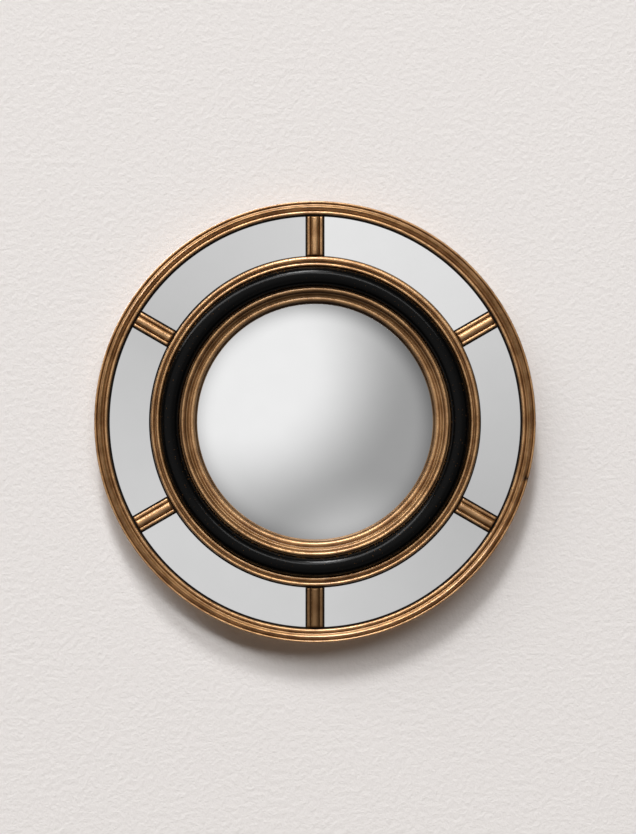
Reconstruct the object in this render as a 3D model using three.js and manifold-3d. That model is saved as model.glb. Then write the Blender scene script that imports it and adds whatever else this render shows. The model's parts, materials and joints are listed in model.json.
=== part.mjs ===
// A round wall mirror: a domed centre glass in a gilt and ebonised surround, with six flat
// glasses around it, parted by reeded bars and held in a reeded gilt frame.
//
// Millimetres. Everything is drawn in the bench frame: X to the right, Y up, Z out of the wall
// towards the viewer, with the mirror's centre at X = Y = 0 and the wall at Z = 0. The last
// group stands it up: the mirror then faces -Y, Z is up, and the origin is the point on the
// wall where the hook is that the hanger ring drops over.

import * as THREE from 'three';
import { mergeVertices } from 'three/addons/utils/BufferGeometryUtils.js';
import Module from 'manifold-3d';

const wasm = await Module();
wasm.setup();

// ---------------------------------------------------------------- driving dimensions

// Whole mirror
const FRAME_RADIUS = 200;
const BAY_COUNT = 6;
const FIT_GAP = 0.3; // clearance between pieces that seat on each other
const RING_SIDES = 60; // facets of every turned ring, a multiple of twice BAY_COUNT
const OVERRUN = 1; // how far a cutter runs past the face that it opens

// Depths, from the wall outwards
const WALL_SPACE = 7; // wall to the back of the board
const BOARD_THICKNESS = 9;
const FLAT_GLASS_THICKNESS = 3;

// Gilt frame, from its outer edge inwards
const OUTER_REED_WIDTH = 2.2;
const OUTER_REED_RISE = 1.5;
const CROWN_WIDTH = 6;
const CROWN_RISE = 3.4;
const INNER_REED_WIDTH = 3.4;
const INNER_REED_RISE = 1.9;
const REED_GROOVE_WIDTH = 0.4;
const FRAME_SKIRT = 4; // wall of the frame that wraps the board's edge
const FRAME_LIP_HEIGHT = 2.2; // underside of the lip to the foot of the reeds

// Black sight fillet, the step of each moulding next to the flat glass
const FILLET_WIDTH = 1.4;
const FILLET_HEIGHT = 1.5;
const GLASS_COVER = 2.7; // how far a moulding laps over the flat glass

// Visible width of the flat glass, from the frame to the inner ring
const BAY_WIDTH = 35.8;

// Inner gilt ring, from the flat glass inwards
const WIDE_BEAD_WIDTH = 3.7;
const WIDE_BEAD_RISE = 2.6;
const BEAD_GROOVE_WIDTH = 1.1;
const THIN_BEAD_WIDTH = 3.4;
const THIN_BEAD_RISE = 2.2;
const INNER_RING_LIP_HEIGHT = 2.4;

// Ebonised ring
const EBONY_WIDTH = 17.7;
const EBONY_WALL_HEIGHT = 6.5; // straight wall below its half round
const EBONY_ROUND_RISE = 8;

// Gilt sight ring that holds the domed glass, from the ebonised ring inwards
const QUIRK_WIDTH = 0.9;
const RIM_BEAD_WIDTH = 3.6;
const RIM_BEAD_RISE = 2;
const RIM_BEAD_FOOT = 7.6; // foot of the rim bead above the board
const COVE_WIDTH = 4.6;
const COVE_DROP = 3.7;
const COVE_SAG = 1.2;
const SIGHT_BEAD_WIDTH = 4.2;
const SIGHT_BEAD_RISE = 1.9;
const SIGHT_LIP_WIDTH = 0.5;
const SIGHT_LIP_THICKNESS = 1.2;
const FLANGE_WIDTH = 3.3; // foot of the sight ring, trapped under the ebonised ring
const FLANGE_THICKNESS = 2.5;

// Domed glass
const DOME_RISE = 25; // centre of the dome above its visible edge
const DOME_THICKNESS = 3;
const DOME_COVER = 3.7; // how far the sight ring laps over the dome's edge
const DOME_SIGHT_DEPTH = 2; // visible edge of the dome above the board's face
const DOME_STEPS = 5;

// Bars between the bays
const BAR_SIDE_BEAD_WIDTH = 3.2;
const BAR_SIDE_BEAD_RISE = 1.6;
const BAR_CENTRE_BEAD_WIDTH = 7.3;
const BAR_CENTRE_BEAD_RISE = 3.2;
const BAR_QUIRK_WIDTH = 0.4;
const BAR_QUIRK_DEPTH = 0.5;

// Board, centre plate and the packing behind the dome
const BOARD_APERTURE_CLEARANCE = 1.3;
const PLATE_THICKNESS = 3;
const PLATE_LAP = 5.2; // width of the board's ledge that the plate sits on
const PLATE_EDGE_GAP = 0.6;
const PACKING_WIDTH = 6;

// Countersunk wood screws through the board into the mouldings
const SCREW_RADIUS = 1.6;
const SCREW_HEAD_RADIUS = 3.2;
const SCREW_HEAD_HEIGHT = 1.8;
const SCREW_LENGTH = 13.6;
const SCREW_CLEARANCE = 0.2;
const SCREW_SIDES = 6;
const EBONY_SCREW_COUNT = 3;

// Pan-head screws of the turn buttons and the hanger
const PAN_HEAD_RADIUS = 3;
const PAN_CROWN_RADIUS = 2.2;
const PAN_HEAD_HEIGHT = 1.4;
const PAN_SHANK_RADIUS = 1.3;
const PAN_BITE = 6.5; // how far the shank goes into the board

// Turn buttons that hold the centre plate
const BUTTON_COUNT = 4;
const BUTTON_THICKNESS = 1.2;
const BUTTON_HEEL_RADIUS = 5;
const BUTTON_TOE_RADIUS = 3.2;
const BUTTON_REACH = 15; // pivot to the middle of the toe
const BUTTON_SETBACK = 8; // pivot to the edge of the plate
const PIVOT_CLEARANCE = 0.3;

// Hanger: a rolled strap and the ring that swings in it
const STRAP_WIDTH = 14;
const STRAP_THICKNESS = 1.2;
const STRAP_LENGTH = 29.5; // pivot to the strap's lower end
const STRAP_SCREW_NEAR = 9.5;
const STRAP_END_MARGIN = 6; // lower screw above the strap's end
const RING_WIRE_RADIUS = 1.5;
const RING_RUN_CLEARANCE = 0.3; // between the wire and the rolled eye
const WIRE_SIDES = 8;
const RING_WIDTH = 23; // centre line to centre line
const RING_SIDE = 2; // straight side between corner and bow
const RING_CORNER_RADIUS = 3;
const HANGER_DROP = 12.25; // the ring's pivot below the screw of the top bar
const EYE_WRAP = 255; // degrees that the strap rolls around the wire

// Wall pads
const PAD_COUNT = 4;
const PAD_RADIUS = 5;
const PAD_FACE_RADIUS = 4;
const PAD_INSET = 17.7; // middle of a pad in from the board's edge
const PAD_SIDES = 12;

// Straight steps that each curve is drawn with
const BEAD_STEPS = 3;
const CROWN_STEPS = 5;
const BAR_CENTRE_BEAD_STEPS = 6;
const EBONY_STEPS = 7;
const GLASS_ARC_STEPS = 5;
const BUTTON_ARC_STEPS = 3;
const EYE_ARC_STEPS = 7;
const RING_ARC_STEPS = 6;

// ---------------------------------------------------------------- sizes that follow

const BOARD_BACK = WALL_SPACE;
const BOARD_FACE = BOARD_BACK + BOARD_THICKNESS;
const GLASS_BACK = BOARD_FACE + FIT_GAP;
const GLASS_FACE = GLASS_BACK + FLAT_GLASS_THICKNESS;
const LIP_BACK = GLASS_FACE + FIT_GAP;
const FILLET_FACE = LIP_BACK + FILLET_HEIGHT;

const FRAME_REEDS_WIDTH = OUTER_REED_WIDTH + CROWN_WIDTH + INNER_REED_WIDTH + 2 * REED_GROOVE_WIDTH;
const FRAME_SIGHT_RADIUS = FRAME_RADIUS - FRAME_REEDS_WIDTH - FILLET_WIDTH;
const FRAME_REBATE_RADIUS = FRAME_SIGHT_RADIUS + GLASS_COVER + FIT_GAP;
const BOARD_RADIUS = FRAME_RADIUS - FRAME_SKIRT - FIT_GAP;

const INNER_SIGHT_RADIUS = FRAME_SIGHT_RADIUS - BAY_WIDTH;
const INNER_REBATE_RADIUS = INNER_SIGHT_RADIUS - GLASS_COVER - FIT_GAP;
const INNER_BEADS_WIDTH = WIDE_BEAD_WIDTH + BEAD_GROOVE_WIDTH + THIN_BEAD_WIDTH;
const INNER_RING_BORE = INNER_SIGHT_RADIUS - FILLET_WIDTH - INNER_BEADS_WIDTH;

const EBONY_OUTER_RADIUS = INNER_RING_BORE - FIT_GAP;
const EBONY_INNER_RADIUS = EBONY_OUTER_RADIUS - EBONY_WIDTH;
const EBONY_SHOULDER = BOARD_FACE + EBONY_WALL_HEIGHT;

const SIGHT_RING_RADIUS = EBONY_INNER_RADIUS - FIT_GAP;
const FLANGE_RADIUS = SIGHT_RING_RADIUS + FLANGE_WIDTH;
const FLANGE_FACE = GLASS_BACK + FLANGE_THICKNESS;
const RIM_BEAD_BASE = BOARD_FACE + RIM_BEAD_FOOT;
const COVE_FOOT = RIM_BEAD_BASE - COVE_DROP;
const COVE_RADIUS = SIGHT_RING_RADIUS - QUIRK_WIDTH - RIM_BEAD_WIDTH;
const SIGHT_BEAD_RADIUS = COVE_RADIUS - COVE_WIDTH;
const DOME_SIGHT_RADIUS = SIGHT_BEAD_RADIUS - SIGHT_BEAD_WIDTH - SIGHT_LIP_WIDTH;

const DOME_RADIUS = DOME_SIGHT_RADIUS + DOME_COVER;
const DOME_CURVE_RADIUS = (DOME_SIGHT_RADIUS ** 2 + DOME_RISE ** 2) / (2 * DOME_RISE);
const DOME_APEX = BOARD_FACE + DOME_SIGHT_DEPTH + DOME_RISE;

const APERTURE_RADIUS = DOME_RADIUS + BOARD_APERTURE_CLEARANCE;
const PLATE_SEAT_RADIUS = APERTURE_RADIUS + PLATE_LAP;
const PLATE_RADIUS = PLATE_SEAT_RADIUS - PLATE_EDGE_GAP;
const PLATE_FACE = BOARD_BACK + PLATE_THICKNESS;
const LEDGE_BACK = PLATE_FACE + FIT_GAP;

const BAR_WIDTH = BAR_CENTRE_BEAD_WIDTH + 2 * (BAR_QUIRK_WIDTH + BAR_SIDE_BEAD_WIDTH + FILLET_WIDTH);
const BAR_STEM_WIDTH = BAR_WIDTH - 2 * (GLASS_COVER + FIT_GAP);
const BAR_SCREW_RADIUS = FRAME_SIGHT_RADIUS - BAY_WIDTH / 4;
const BAY_ANGLE = (2 * Math.PI) / BAY_COUNT;

const EYE_RADIUS = RING_WIRE_RADIUS + RING_RUN_CLEARANCE;
const EYE_OUTER_RADIUS = EYE_RADIUS + STRAP_THICKNESS;
const HANGER_RADIUS = BAR_SCREW_RADIUS - HANGER_DROP;
const HANGER_DEPTH = BOARD_BACK - FIT_GAP - EYE_OUTER_RADIUS;
const RING_BOW_RADIUS = RING_WIDTH / 2;
const RING_REACH = RING_CORNER_RADIUS + RING_SIDE + RING_BOW_RADIUS;
const HOOK_RADIUS = HANGER_RADIUS + RING_REACH - RING_WIRE_RADIUS;
const PAD_CIRCLE_RADIUS = BOARD_RADIUS - PAD_INSET;
const UP = Math.PI / 2;

// ---------------------------------------------------------------- materials

function finish(color, roughness, metalness) {
  return new THREE.MeshStandardMaterial({ color, roughness, metalness });
}

const antiqueGilt = () => finish(0xa9824e, 0.38, 0.85);
const ebonisedLacquer = () => finish(0x14130f, 0.3, 0);
const silveredGlass = () => finish(0xd9dad8, 0.03, 1);
const fibreboard = () => finish(0x4a3b2c, 0.85, 0);
const hardboard = () => finish(0x6b4a2e, 0.8, 0);
const zincPlate = () => finish(0xb9bab6, 0.4, 0.9);
const felt = () => finish(0x57534c, 1, 0);
const rubber = () => finish(0x1e1e1e, 0.8, 0);

// ---------------------------------------------------------------- shape helpers

// A turned solid from a closed outline of [radius, depth] points.
function turned(outline, sides = RING_SIDES) {
  const points = outline.map(([radius, depth]) => new THREE.Vector2(radius, depth));
  if (THREE.ShapeUtils.area(points) < 0) points.reverse();
  const ends = [points[0], points[points.length - 1]];
  if (ends.some((point) => point.x > 0)) points.push(points[0].clone());
  return new THREE.LatheGeometry(points, sides).rotateX(Math.PI / 2);
}

// A rounded bead from one foot to the other, as a half ellipse that stands off the line
// between them. Both feet are in the result.
function bead(from, to, rise, steps = BEAD_STEPS) {
  return Array.from({ length: steps + 1 }, (_, i) => {
    const turn = (Math.PI * i) / steps;
    const share = (1 - Math.cos(turn)) / 2;
    const foot = THREE.MathUtils.lerp(from[1], to[1], share);
    return [THREE.MathUtils.lerp(from[0], to[0], share), foot + rise * Math.sin(turn)];
  });
}

// A flat piece of the given outline, from one depth to another.
function slab(shape, from, to, curveSegments) {
  const settings = { depth: to - from, bevelEnabled: false, curveSegments };
  return new THREE.ExtrudeGeometry(shape, settings).translate(0, 0, from);
}

// A strip of the given section, drawn with X across the bench and Y out of the wall, that
// runs along the bench's X from nought.
function strip(section, length, curveSegments) {
  const toBench = new THREE.Matrix4().makeBasis(
    new THREE.Vector3(0, 1, 0),
    new THREE.Vector3(0, 0, 1),
    new THREE.Vector3(1, 0, 0),
  );
  return slab(section, 0, length, curveSegments).applyMatrix4(toBench);
}

// The geometry as a closed solid, without the corners that coincide.
function solid(geometry) {
  const bare = geometry.clone();
  bare.deleteAttribute('normal');
  bare.deleteAttribute('uv');
  const merged = mergeVertices(bare);
  const corners = merged.index.array;
  const triVerts = [];
  for (let i = 0; i < corners.length; i += 3) {
    const [a, b, c] = corners.slice(i, i + 3);
    if (a !== b && b !== c && c !== a) triVerts.push(a, b, c);
  }
  return new wasm.Manifold(new wasm.Mesh({
    numProp: 3,
    vertProperties: new Float32Array(merged.attributes.position.array),
    triVerts: new Uint32Array(triVerts),
  }));
}

function geometryOf(manifold) {
  const { vertProperties, triVerts } = manifold.getMesh();
  const geometry = new THREE.BufferGeometry();
  geometry.setAttribute('position', new THREE.BufferAttribute(vertProperties, 3));
  geometry.setIndex(new THREE.BufferAttribute(triVerts, 1));
  const flat = geometry.toNonIndexed();
  flat.computeVertexNormals();
  return flat;
}

// The geometry with every cutter taken away.
function cut(geometry, cutters) {
  const result = cutters.reduce((body, cutter) => body.subtract(solid(cutter)), solid(geometry));
  return geometryOf(result);
}

// The same geometry set round a circle, one copy for each angle.
function around(geometry, radius, angles) {
  return angles.map((angle) => geometry.clone().translate(radius, 0, 0).rotateZ(angle));
}

function evenAngles(count, first = 0) {
  return Array.from({ length: count }, (_, i) => first + (2 * Math.PI * i) / count);
}

const mirror = new THREE.Group();

function add(name, geometry, material, parent = mirror) {
  const mesh = new THREE.Mesh(geometry, material);
  mesh.name = name;
  parent.add(mesh);
  return mesh;
}

// Like pieces in a row of numbered nodes, each with a material of its own.
function addEach(name, geometries, material) {
  geometries.forEach((geometry, i) => add(`${name}_${i + 1}`, geometry, material()));
}

// ---------------------------------------------------------------- screws and their holes

const BAR_ANGLES = evenAngles(BAY_COUNT, Math.PI / 2);
const BETWEEN_BARS = evenAngles(BAY_COUNT, Math.PI / 2 + BAY_ANGLE / 2);
const EBONY_SCREW_ANGLES = evenAngles(EBONY_SCREW_COUNT, Math.PI / 2 + BAY_ANGLE / 2);
const FRAME_SCREW_RADIUS = (FRAME_REBATE_RADIUS + BOARD_RADIUS) / 2;
const EBONY_SCREW_RADIUS = (EBONY_OUTER_RADIUS + FLANGE_RADIUS) / 2;

const SCREW_HEAD_FACE = BOARD_BACK + FIT_GAP;
const SCREW_TIP = SCREW_HEAD_FACE + SCREW_LENGTH;
const SCREW_TAPER = (SCREW_HEAD_RADIUS - SCREW_RADIUS) / SCREW_HEAD_HEIGHT;

// A countersunk screw with its head just under the back of the board.
function woodScrew() {
  const outline = [
    [0, SCREW_HEAD_FACE],
    [SCREW_HEAD_RADIUS, SCREW_HEAD_FACE],
    [SCREW_RADIUS, SCREW_HEAD_FACE + SCREW_HEAD_HEIGHT],
    [SCREW_RADIUS, SCREW_TIP],
    [0, SCREW_TIP],
  ];
  return turned(outline, SCREW_SIDES);
}

// Its hole: the same taper and shank with a clearance, run out past the back of the board.
function woodScrewHole() {
  const mouth = BOARD_BACK - OVERRUN;
  const hole = SCREW_RADIUS + SCREW_CLEARANCE;
  const neck = SCREW_HEAD_FACE + SCREW_HEAD_HEIGHT;
  const outline = [
    [0, mouth],
    [hole + (neck - mouth) * SCREW_TAPER, mouth],
    [hole, neck],
    [hole, SCREW_TIP + SCREW_CLEARANCE],
    [0, SCREW_TIP + SCREW_CLEARANCE],
  ];
  return turned(outline, SCREW_SIDES);
}

// A pan-head screw that clamps a plate whose wall side is at the given depth.
function panScrew(plateBack) {
  const under = plateBack - FIT_GAP;
  const crown = under - PAN_HEAD_HEIGHT;
  const outline = [
    [0, crown],
    [PAN_CROWN_RADIUS, crown],
    [PAN_HEAD_RADIUS, under],
    [PAN_SHANK_RADIUS, under],
    [PAN_SHANK_RADIUS, BOARD_BACK + PAN_BITE],
    [0, BOARD_BACK + PAN_BITE],
  ];
  return turned(outline, SCREW_SIDES);
}

function panScrewHole() {
  const radius = PAN_SHANK_RADIUS + SCREW_CLEARANCE;
  const outline = [
    [0, BOARD_BACK - OVERRUN],
    [radius, BOARD_BACK - OVERRUN],
    [radius, BOARD_BACK + PAN_BITE + SCREW_CLEARANCE],
    [0, BOARD_BACK + PAN_BITE + SCREW_CLEARANCE],
  ];
  return turned(outline, SCREW_SIDES);
}

// ---------------------------------------------------------------- gilt frame

function frameOutline() {
  const reedsFoot = LIP_BACK + FRAME_LIP_HEIGHT;
  const innerReed = FRAME_SIGHT_RADIUS + FILLET_WIDTH;
  const crown = innerReed + INNER_REED_WIDTH + REED_GROOVE_WIDTH;
  const outerReed = crown + CROWN_WIDTH + REED_GROOVE_WIDTH;
  return [
    [FRAME_SIGHT_RADIUS, LIP_BACK],
    [FRAME_SIGHT_RADIUS, FILLET_FACE],
    [innerReed, FILLET_FACE],
    ...bead([innerReed, reedsFoot], [innerReed + INNER_REED_WIDTH, reedsFoot], INNER_REED_RISE),
    ...bead([crown, reedsFoot], [crown + CROWN_WIDTH, reedsFoot], CROWN_RISE, CROWN_STEPS),
    ...bead([outerReed, reedsFoot], [FRAME_RADIUS, reedsFoot], OUTER_REED_RISE),
    [FRAME_RADIUS, BOARD_BACK],
    [FRAME_RADIUS - FRAME_SKIRT, BOARD_BACK],
    [FRAME_RADIUS - FRAME_SKIRT, GLASS_BACK],
    [FRAME_REBATE_RADIUS, GLASS_BACK],
    [FRAME_REBATE_RADIUS, LIP_BACK],
  ];
}

function addFrame() {
  const holes = around(woodScrewHole(), FRAME_SCREW_RADIUS, BETWEEN_BARS);
  add('outer_ring', cut(turned(frameOutline()), holes), antiqueGilt());
}

// ---------------------------------------------------------------- rings round the dome

function addInnerGiltRing() {
  const beadsFoot = LIP_BACK + INNER_RING_LIP_HEIGHT;
  const wideBead = INNER_SIGHT_RADIUS - FILLET_WIDTH;
  const thinBead = INNER_RING_BORE + THIN_BEAD_WIDTH;
  const outline = [
    [INNER_SIGHT_RADIUS, LIP_BACK],
    [INNER_SIGHT_RADIUS, FILLET_FACE],
    [wideBead, FILLET_FACE],
    ...bead([wideBead, beadsFoot], [wideBead - WIDE_BEAD_WIDTH, beadsFoot], WIDE_BEAD_RISE),
    ...bead([thinBead, beadsFoot], [INNER_RING_BORE, beadsFoot], THIN_BEAD_RISE),
    [INNER_RING_BORE, GLASS_BACK],
    [INNER_REBATE_RADIUS, GLASS_BACK],
    [INNER_REBATE_RADIUS, LIP_BACK],
  ];
  add('inner_gilt_ring', turned(outline), antiqueGilt());
}

function addEbonisedRing() {
  const outer = [EBONY_OUTER_RADIUS, EBONY_SHOULDER];
  const inner = [EBONY_INNER_RADIUS, EBONY_SHOULDER];
  const rebate = FLANGE_RADIUS + FIT_GAP;
  const outline = [
    [EBONY_OUTER_RADIUS, GLASS_BACK],
    ...bead(outer, inner, EBONY_ROUND_RISE, EBONY_STEPS),
    [EBONY_INNER_RADIUS, FLANGE_FACE + FIT_GAP],
    [rebate, FLANGE_FACE + FIT_GAP],
    [rebate, GLASS_BACK],
  ];
  const holes = around(woodScrewHole(), EBONY_SCREW_RADIUS, EBONY_SCREW_ANGLES);
  add('ebonised_ring', cut(turned(outline), holes), ebonisedLacquer());
}

// Front of the dome at a radius, and the same point on its silvered back.
function domeFront(radius) {
  return DOME_APEX - DOME_CURVE_RADIUS + Math.sqrt(DOME_CURVE_RADIUS ** 2 - radius ** 2);
}

function domeBack(radius) {
  const curve = DOME_CURVE_RADIUS - DOME_THICKNESS;
  return DOME_APEX - DOME_CURVE_RADIUS + Math.sqrt(curve ** 2 - radius ** 2);
}

function addSightRing() {
  const bore = DOME_SIGHT_RADIUS;
  const sightBead = bore + SIGHT_LIP_WIDTH;
  const quirk = SIGHT_RING_RADIUS - QUIRK_WIDTH;
  const seat = domeFront(bore) + FIT_GAP;
  const cove = bead([COVE_RADIUS, RIM_BEAD_BASE], [SIGHT_BEAD_RADIUS, COVE_FOOT], -COVE_SAG);
  const outline = [
    [FLANGE_RADIUS, GLASS_BACK],
    [FLANGE_RADIUS, FLANGE_FACE],
    [SIGHT_RING_RADIUS, FLANGE_FACE],
    [SIGHT_RING_RADIUS, RIM_BEAD_BASE - QUIRK_WIDTH],
    [quirk, RIM_BEAD_BASE - QUIRK_WIDTH],
    ...bead([quirk, RIM_BEAD_BASE], [COVE_RADIUS, RIM_BEAD_BASE], RIM_BEAD_RISE),
    ...cove.slice(1, -1),
    ...bead([SIGHT_BEAD_RADIUS, COVE_FOOT], [sightBead, COVE_FOOT], SIGHT_BEAD_RISE),
    [sightBead, seat + SIGHT_LIP_THICKNESS],
    [bore, seat + SIGHT_LIP_THICKNESS],
    [bore, seat],
    [APERTURE_RADIUS, GLASS_BACK],
  ];
  add('sight_ring', turned(outline), antiqueGilt());
}

function addDome() {
  const steps = Array.from({ length: DOME_STEPS + 1 }, (_, i) => (DOME_RADIUS * i) / DOME_STEPS);
  const front = steps.map((radius) => [radius, domeFront(radius)]);
  const back = steps.map((radius) => [radius, domeBack(radius)]).reverse();
  add('convex_glass', turned([...front, ...back]), silveredGlass());
}

// ---------------------------------------------------------------- bays

// Section of a bar, across its width: a stem between the glasses under a reeded head.
function barSection() {
  const half = BAR_WIDTH / 2;
  const stem = BAR_STEM_WIDTH / 2;
  const beadsFoot = LIP_BACK + FRAME_LIP_HEIGHT;
  const sideBead = half - FILLET_WIDTH;
  const quirk = sideBead - BAR_SIDE_BEAD_WIDTH;
  const centre = BAR_CENTRE_BEAD_WIDTH / 2;
  const quirkFloor = beadsFoot - BAR_QUIRK_DEPTH;
  const points = [
    [stem, GLASS_BACK],
    [stem, LIP_BACK],
    [half, LIP_BACK],
    [half, FILLET_FACE],
    [sideBead, FILLET_FACE],
    ...bead([sideBead, beadsFoot], [quirk, beadsFoot], BAR_SIDE_BEAD_RISE),
    [centre + BAR_QUIRK_WIDTH / 2, quirkFloor],
    ...bead([centre, beadsFoot], [-centre, beadsFoot], BAR_CENTRE_BEAD_RISE, BAR_CENTRE_BEAD_STEPS),
    [-centre - BAR_QUIRK_WIDTH / 2, quirkFloor],
    ...bead([-quirk, beadsFoot], [-sideBead, beadsFoot], BAR_SIDE_BEAD_RISE),
    [-sideBead, FILLET_FACE],
    [-half, FILLET_FACE],
    [-half, LIP_BACK],
    [-stem, LIP_BACK],
    [-stem, GLASS_BACK],
  ];
  return new THREE.Shape(points.map(([across, depth]) => new THREE.Vector2(across, depth)));
}

// The room between the frame and the inner ring: wide at the glass, where the ends of the
// stems run under both lips, and narrow above it, where the heads butt against the mouldings.
function bayRoom() {
  const above = LIP_BACK + FRAME_LIP_HEIGHT + BAR_CENTRE_BEAD_RISE + OVERRUN;
  const outline = [
    [INNER_REBATE_RADIUS + FIT_GAP, BOARD_FACE],
    [FRAME_REBATE_RADIUS - FIT_GAP, BOARD_FACE],
    [FRAME_REBATE_RADIUS - FIT_GAP, GLASS_FACE],
    [FRAME_SIGHT_RADIUS - FIT_GAP, GLASS_FACE],
    [FRAME_SIGHT_RADIUS - FIT_GAP, above],
    [INNER_SIGHT_RADIUS + FIT_GAP, above],
    [INNER_SIGHT_RADIUS + FIT_GAP, GLASS_FACE],
    [INNER_REBATE_RADIUS + FIT_GAP, GLASS_FACE],
  ];
  return turned(outline);
}

function addBars() {
  const room = solid(bayRoom());
  const length = FRAME_RADIUS - INNER_RING_BORE;
  const uncut = strip(barSection(), length).translate(INNER_RING_BORE, 0, 0);
  const hole = woodScrewHole().translate(BAR_SCREW_RADIUS, 0, 0);
  const bars = BAR_ANGLES.map((angle) => {
    const bar = solid(uncut.clone().rotateZ(angle)).intersect(room);
    return geometryOf(bar.subtract(solid(hole.clone().rotateZ(angle))));
  });
  addEach('glazing_bar', bars, antiqueGilt);
}

// One flat glass, drawn around the +X direction: two arcs and two edges along the bars.
function segmentShape() {
  const outer = FRAME_REBATE_RADIUS - FIT_GAP;
  const inner = INNER_REBATE_RADIUS + FIT_GAP;
  const edge = BAR_STEM_WIDTH / 2 + FIT_GAP;
  const half = BAY_ANGLE / 2;
  const outerEnd = half - Math.asin(edge / outer);
  const innerEnd = half - Math.asin(edge / inner);
  const shape = new THREE.Shape();
  shape.absarc(0, 0, outer, -outerEnd, outerEnd, false);
  shape.absarc(0, 0, inner, innerEnd, -innerEnd, true);
  shape.closePath();
  return shape;
}

function addSegments() {
  const glass = slab(segmentShape(), GLASS_BACK, GLASS_FACE, GLASS_ARC_STEPS);
  addEach('mirror_segment', around(glass, 0, BETWEEN_BARS), silveredGlass);
}

// ---------------------------------------------------------------- back

const BUTTON_ANGLES = evenAngles(BUTTON_COUNT, Math.PI / BUTTON_COUNT);
const BUTTON_PIVOT_RADIUS = PLATE_RADIUS + BUTTON_SETBACK;
const BUTTON_FACE = BOARD_BACK - FIT_GAP;
const BUTTON_BACK = BUTTON_FACE - BUTTON_THICKNESS;
const STRAP_SCREW_DROPS = [STRAP_SCREW_NEAR, STRAP_LENGTH - STRAP_END_MARGIN];
const STRAP_SCREW_RADII = STRAP_SCREW_DROPS.map((drop) => HANGER_RADIUS - drop);
const STRAP_BACK = BOARD_BACK - FIT_GAP - STRAP_THICKNESS;

function addBoard() {
  const outline = [
    [APERTURE_RADIUS, BOARD_FACE],
    [BOARD_RADIUS, BOARD_FACE],
    [BOARD_RADIUS, BOARD_BACK],
    [PLATE_SEAT_RADIUS, BOARD_BACK],
    [PLATE_SEAT_RADIUS, LEDGE_BACK],
    [APERTURE_RADIUS, LEDGE_BACK],
  ];
  const holes = [
    ...around(woodScrewHole(), FRAME_SCREW_RADIUS, BETWEEN_BARS),
    ...around(woodScrewHole(), BAR_SCREW_RADIUS, BAR_ANGLES),
    ...around(woodScrewHole(), EBONY_SCREW_RADIUS, EBONY_SCREW_ANGLES),
    ...around(panScrewHole(), BUTTON_PIVOT_RADIUS, BUTTON_ANGLES),
    ...STRAP_SCREW_RADII.flatMap((radius) => around(panScrewHole(), radius, [UP])),
  ];
  add('back_board', cut(turned(outline), holes), fibreboard());
}

function addBoardScrews() {
  addEach('frame_screw', around(woodScrew(), FRAME_SCREW_RADIUS, BETWEEN_BARS), zincPlate);
  addEach('bar_screw', around(woodScrew(), BAR_SCREW_RADIUS, BAR_ANGLES), zincPlate);
  addEach('ebonised_ring_screw', around(woodScrew(), EBONY_SCREW_RADIUS, EBONY_SCREW_ANGLES), zincPlate);
}

function addCentrePlate() {
  const outline = [
    [0, BOARD_BACK],
    [PLATE_RADIUS, BOARD_BACK],
    [PLATE_RADIUS, PLATE_FACE],
    [0, PLATE_FACE],
  ];
  add('centre_back_plate', turned(outline), hardboard());
}

// A felt ring that the plate presses against the edge of the dome.
function addPacking() {
  const outer = DOME_RADIUS;
  const inner = DOME_RADIUS - PACKING_WIDTH;
  const outline = [
    [inner, PLATE_FACE + FIT_GAP],
    [outer, PLATE_FACE + FIT_GAP],
    [outer, domeBack(outer) - FIT_GAP],
    [inner, domeBack(inner) - FIT_GAP],
  ];
  add('glass_packing_ring', turned(outline), felt());
}

// A turn button lies towards the centre, with its round heel on the pivot.
function buttonShape() {
  const shape = new THREE.Shape();
  const lean = Math.acos((BUTTON_HEEL_RADIUS - BUTTON_TOE_RADIUS) / BUTTON_REACH);
  shape.absarc(0, 0, BUTTON_HEEL_RADIUS, Math.PI + lean, Math.PI * 3 - lean, false);
  shape.absarc(-BUTTON_REACH, 0, BUTTON_TOE_RADIUS, Math.PI - lean, Math.PI + lean, false);
  shape.closePath();
  const pivot = new THREE.Path();
  pivot.absarc(0, 0, PAN_SHANK_RADIUS + PIVOT_CLEARANCE, 0, 2 * Math.PI, true);
  shape.holes.push(pivot);
  return shape;
}

function addTurnButtons() {
  const button = slab(buttonShape(), BUTTON_BACK, BUTTON_FACE, BUTTON_ARC_STEPS);
  const screw = panScrew(BUTTON_BACK);
  addEach('turn_button', around(button, BUTTON_PIVOT_RADIUS, BUTTON_ANGLES), zincPlate);
  addEach('turn_button_screw', around(screw, BUTTON_PIVOT_RADIUS, BUTTON_ANGLES), zincPlate);
}

function addPads() {
  const outline = [
    [0, 0],
    [PAD_FACE_RADIUS, 0],
    [PAD_RADIUS, BOARD_BACK - FIT_GAP],
    [0, BOARD_BACK - FIT_GAP],
  ];
  const angles = evenAngles(PAD_COUNT, Math.PI / PAD_COUNT);
  addEach('wall_pad', around(turned(outline, PAD_SIDES), PAD_CIRCLE_RADIUS, angles), rubber);
}

// ---------------------------------------------------------------- hanger

// The strap seen along its pivot: a flat tail up the board, rolled into an eye at its top.
// Drawn with X up the board and Y out of the wall, from the pivot.
function strapSection() {
  const end = UP - THREE.MathUtils.degToRad(EYE_WRAP);
  const section = new THREE.Shape();
  section.moveTo(-STRAP_LENGTH, EYE_RADIUS);
  section.lineTo(-STRAP_LENGTH, EYE_OUTER_RADIUS);
  section.lineTo(0, EYE_OUTER_RADIUS);
  section.absarc(0, 0, EYE_OUTER_RADIUS, UP, end, true);
  section.absarc(0, 0, EYE_RADIUS, end, UP, false);
  section.closePath();
  return section;
}

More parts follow.
